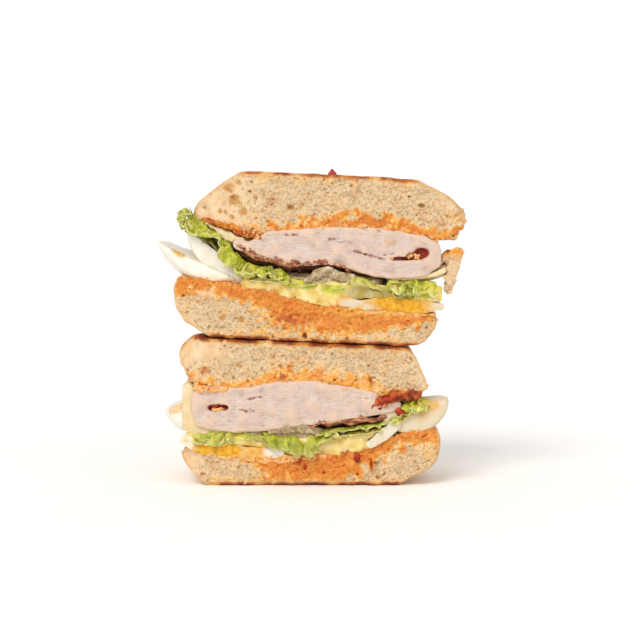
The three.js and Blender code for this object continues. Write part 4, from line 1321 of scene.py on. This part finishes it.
lumps(
    "lower_sauce", "sauce", 503,
    [
     ([(-56, 45.6), (-48, 44.6), (-38, 45.4), (-21, 48.6), (4, 48.4), (12, 46.6), (30, 44), (45, 45)], 60,
      0.7, 0.55, 0.4), ([(-55, 46.6), (-48, 45.8), (-41, 46)], 60, 0.7, 0.8, -0.6),
     ([(-32, 13.6), (-20, 11.6), (-8, 12)], 26, 0.7, 0.5, 0.6),
     ([(-47.6, 35.9), (-40.8, 36.2)], 34, 0.12, 0.6, 0.7), ([(30, 37.6), (37, 38.6)], 16, 0.5, 0.55, -0.6)]
)
lumps("upper_tomato_bits", "tomato", 505, [([(-39, 50.6), (-36.6, 49.8)], 8, 0.5, 0.8, -0.6)])
lumps(
    "lower_tomato_bits", "tomato", 507,
    [([(31, 38.8), (35, 41), (39, 42.4)], 9, 0.9, 1.3, -0.8),
     ([(41.4, 35.4), (42.6, 36)], 4, 0.4, 1.3, -1.8), ([(-47.6, 37.7), (-41, 37.9)], 16, 0.1, 0.6, 1.5),
     ([(-6, 12.6), (-3, 9)], 5, 0.6, 0.9, 0.4), ([(19, 14.6), (21.6, 13.8)], 6, 0.7, 1.1, 0.4)], soft=0.2
)


def tear_crust():
    """The torn strip of crust that hangs from the fold end of the upper half."""
    block = laid(
        "upper", [(65.8, 44), (65.2, 39.6), (64.2, 34), (63.4, 27.6)], (5.6, 5.8, 5.6, 4.6, 3.2), 20, 601,
        soft=0.5, rough=0.15, front=1.2
    )
    for across, up, wide in ((62.8, 42.4, 4.0), (67.0, 44.4, 3.4)):  # it is widest where it tore off
        x, z = placed("upper", across, up)
        block.lump((x, CUT + 11, z), (wide, 9.6, 2.8))
    back = 9 + 7 * ramp(block.z[0, 0, :], 95, 109) + 2.4 * block.front_bumps(6, 606)  # torn off unevenly
    block.depth = np.maximum(block.depth, block.y - CUT - back[:, None, :]).astype(np.float32)
    block.soften(0.9)
    block.depth += 0.42 * block.bumps(4, 604) + 0.1 * block.bumps(2, 605)
    shape = points, _, _ = block.surface(FINE)
    x, z = points[:, 0], points[:, 2]
    low, high = z.min(), z.max()
    right = ramp(x, np.quantile(x, 0.6), x.max())
    piece(
        "upper_torn_crust_shred", shape, "bread", ["upper_torn_crust"],
        # scattered pits, which the bread colour darkens as painted shade
        pit=0.3 * ramp(block.read(block.bumps(3, 603), points), 1.2, 2.4),
        crust=0.5 * right * ramp(z, low, high), soak=0.8 * ramp(z, high - 9, high - 2),
        flour=0.3 * ramp(z, high - 3, high - 8), toast=0.25 * right,
    )


tear_crust()


def turn_pick(head=3.0, count=20):
    """The pick: a thin stick with a flaked, pointed head of head mm, turned with count sides."""
    low, high = corners("pick")
    cx, cy = (low[:2] + high[:2]) / 2
    radius = (high[0] - low[0]) / 2
    rings = [(low[2], 0.05), (low[2] + 4.5, 1.05), (high[2] - head - 1, 1.1), (high[2] - head, 1.1)]
    rings += [(high[2] - head + 0.05, radius), (high[2] - head * 0.72, radius * 0.95)]
    rings += [(high[2] - head * 0.45, radius * 0.62), (high[2] - head * 0.2, radius * 0.34), (high[2], 0.08)]
    turn = np.linspace(0, 2 * np.pi, count, endpoint=False)
    points, is_head = [], []
    for z, r in rings:
        in_head = z > high[2] - head + 0.01
        flake = 1 - 0.28 * np.abs(np.sin(2.5 * turn)) * in_head
        x, y = cx + r * flake * np.cos(turn), cy + r * flake * np.sin(turn)
        points.append(np.stack([x, y, z - 0.4 * (1 - flake) + 0 * turn], axis=1))
        is_head.append(np.full(count, float(in_head)))
    index = np.arange(len(rings) * count).reshape(len(rings), count)
    after = np.roll(index, -1, axis=1)
    quads = np.stack([index[:-1], after[:-1], after[1:], index[1:]], axis=-1).reshape(-1, 4)
    caps = [(index[0, 0], index[0, i + 1], index[0, i]) for i in range(1, count - 1)]
    caps += [(index[-1, 0], index[-1, i], index[-1, i + 1]) for i in range(1, count - 1)]
    piece(
        "pick_turned", (np.concatenate(points), caps, quads), "pick", ["pick"], head=np.concatenate(is_head)
    )


turn_pick()

# ---- The scene ----------------------------------------------------------------------------------------

AIM = Vector((4.2 * MM, CUT * MM, 78.5 * MM))
DISTANCE, ELEVATION = 836 * MM, np.radians(3.5)  # the camera's, from where it aims
LENS, SENSOR = 100, 36  # mm

scene = bpy.context.scene
scene.view_settings.view_transform = "Standard"
scene.world = bpy.data.worlds.new("studio")
scene.world.use_nodes = True
studio = scene.world.node_tree
studio.nodes.clear()
seen = add(studio, "Background", Color="#ffffff", Strength=1.0)
glow = add(studio, "Background", Color="#fffdfa", Strength=0.74)
view = add(studio, "LightPath", output="Is Camera Ray")
add(studio, "OutputWorld", Surface=add(studio, "MixShader", Fac=view, Shader=glow, Shader_001=seen))


def put(name, data, at):
    """Puts a lamp or a camera at a place, turned to where the camera aims."""
    made = bpy.data.objects.new(name, data)
    scene.collection.objects.link(made)
    made.location = at
    made.rotation_mode = "QUATERNION"
    made.rotation_quaternion = (AIM - made.location).to_track_quat("-Z", "Y")
    return made


for name, at, angle, strength in (("key", (-0.35, -0.8, 0.85), 28, 1.5), ("fill", (0.7, -0.9, 0.5), 60, 0.3)):
    lamp = bpy.data.lights.new(name, "SUN")
    lamp.angle, lamp.energy, lamp.color = np.radians(angle), strength, linear("#fffcf7")[:3]
    put(name, lamp, at)

floor_mesh = bpy.data.meshes.new("floor")
floor_mesh.from_pydata([(-3, -3, 0), (3, -3, 0), (3, 3, 0), (-3, 3, 0)], [], [(0, 1, 2, 3)])
floor = bpy.data.objects.new("floor", floor_mesh)
scene.collection.objects.link(floor)
sweep, node, at, _ = start("matte_white_sweep")
felt = node("TexNoise", Vector=at, Scale=per(30), Detail=2)
tone = node("ValToRGB", Fac=felt, stops=[(0.3, "#fdfdfd"), (0.7, "#ffffff")])
node("OutputMaterial", Surface=node("BsdfPrincipled", Base_Color=tone, Roughness=0.9))
floor_mesh.materials.append(sweep)

lens = bpy.data.cameras.new("camera")
lens.lens, lens.sensor_width = LENS, SENSOR
scene.camera = put("camera", lens, AIM + DISTANCE * Vector((0, -np.cos(ELEVATION), np.sin(ELEVATION))))
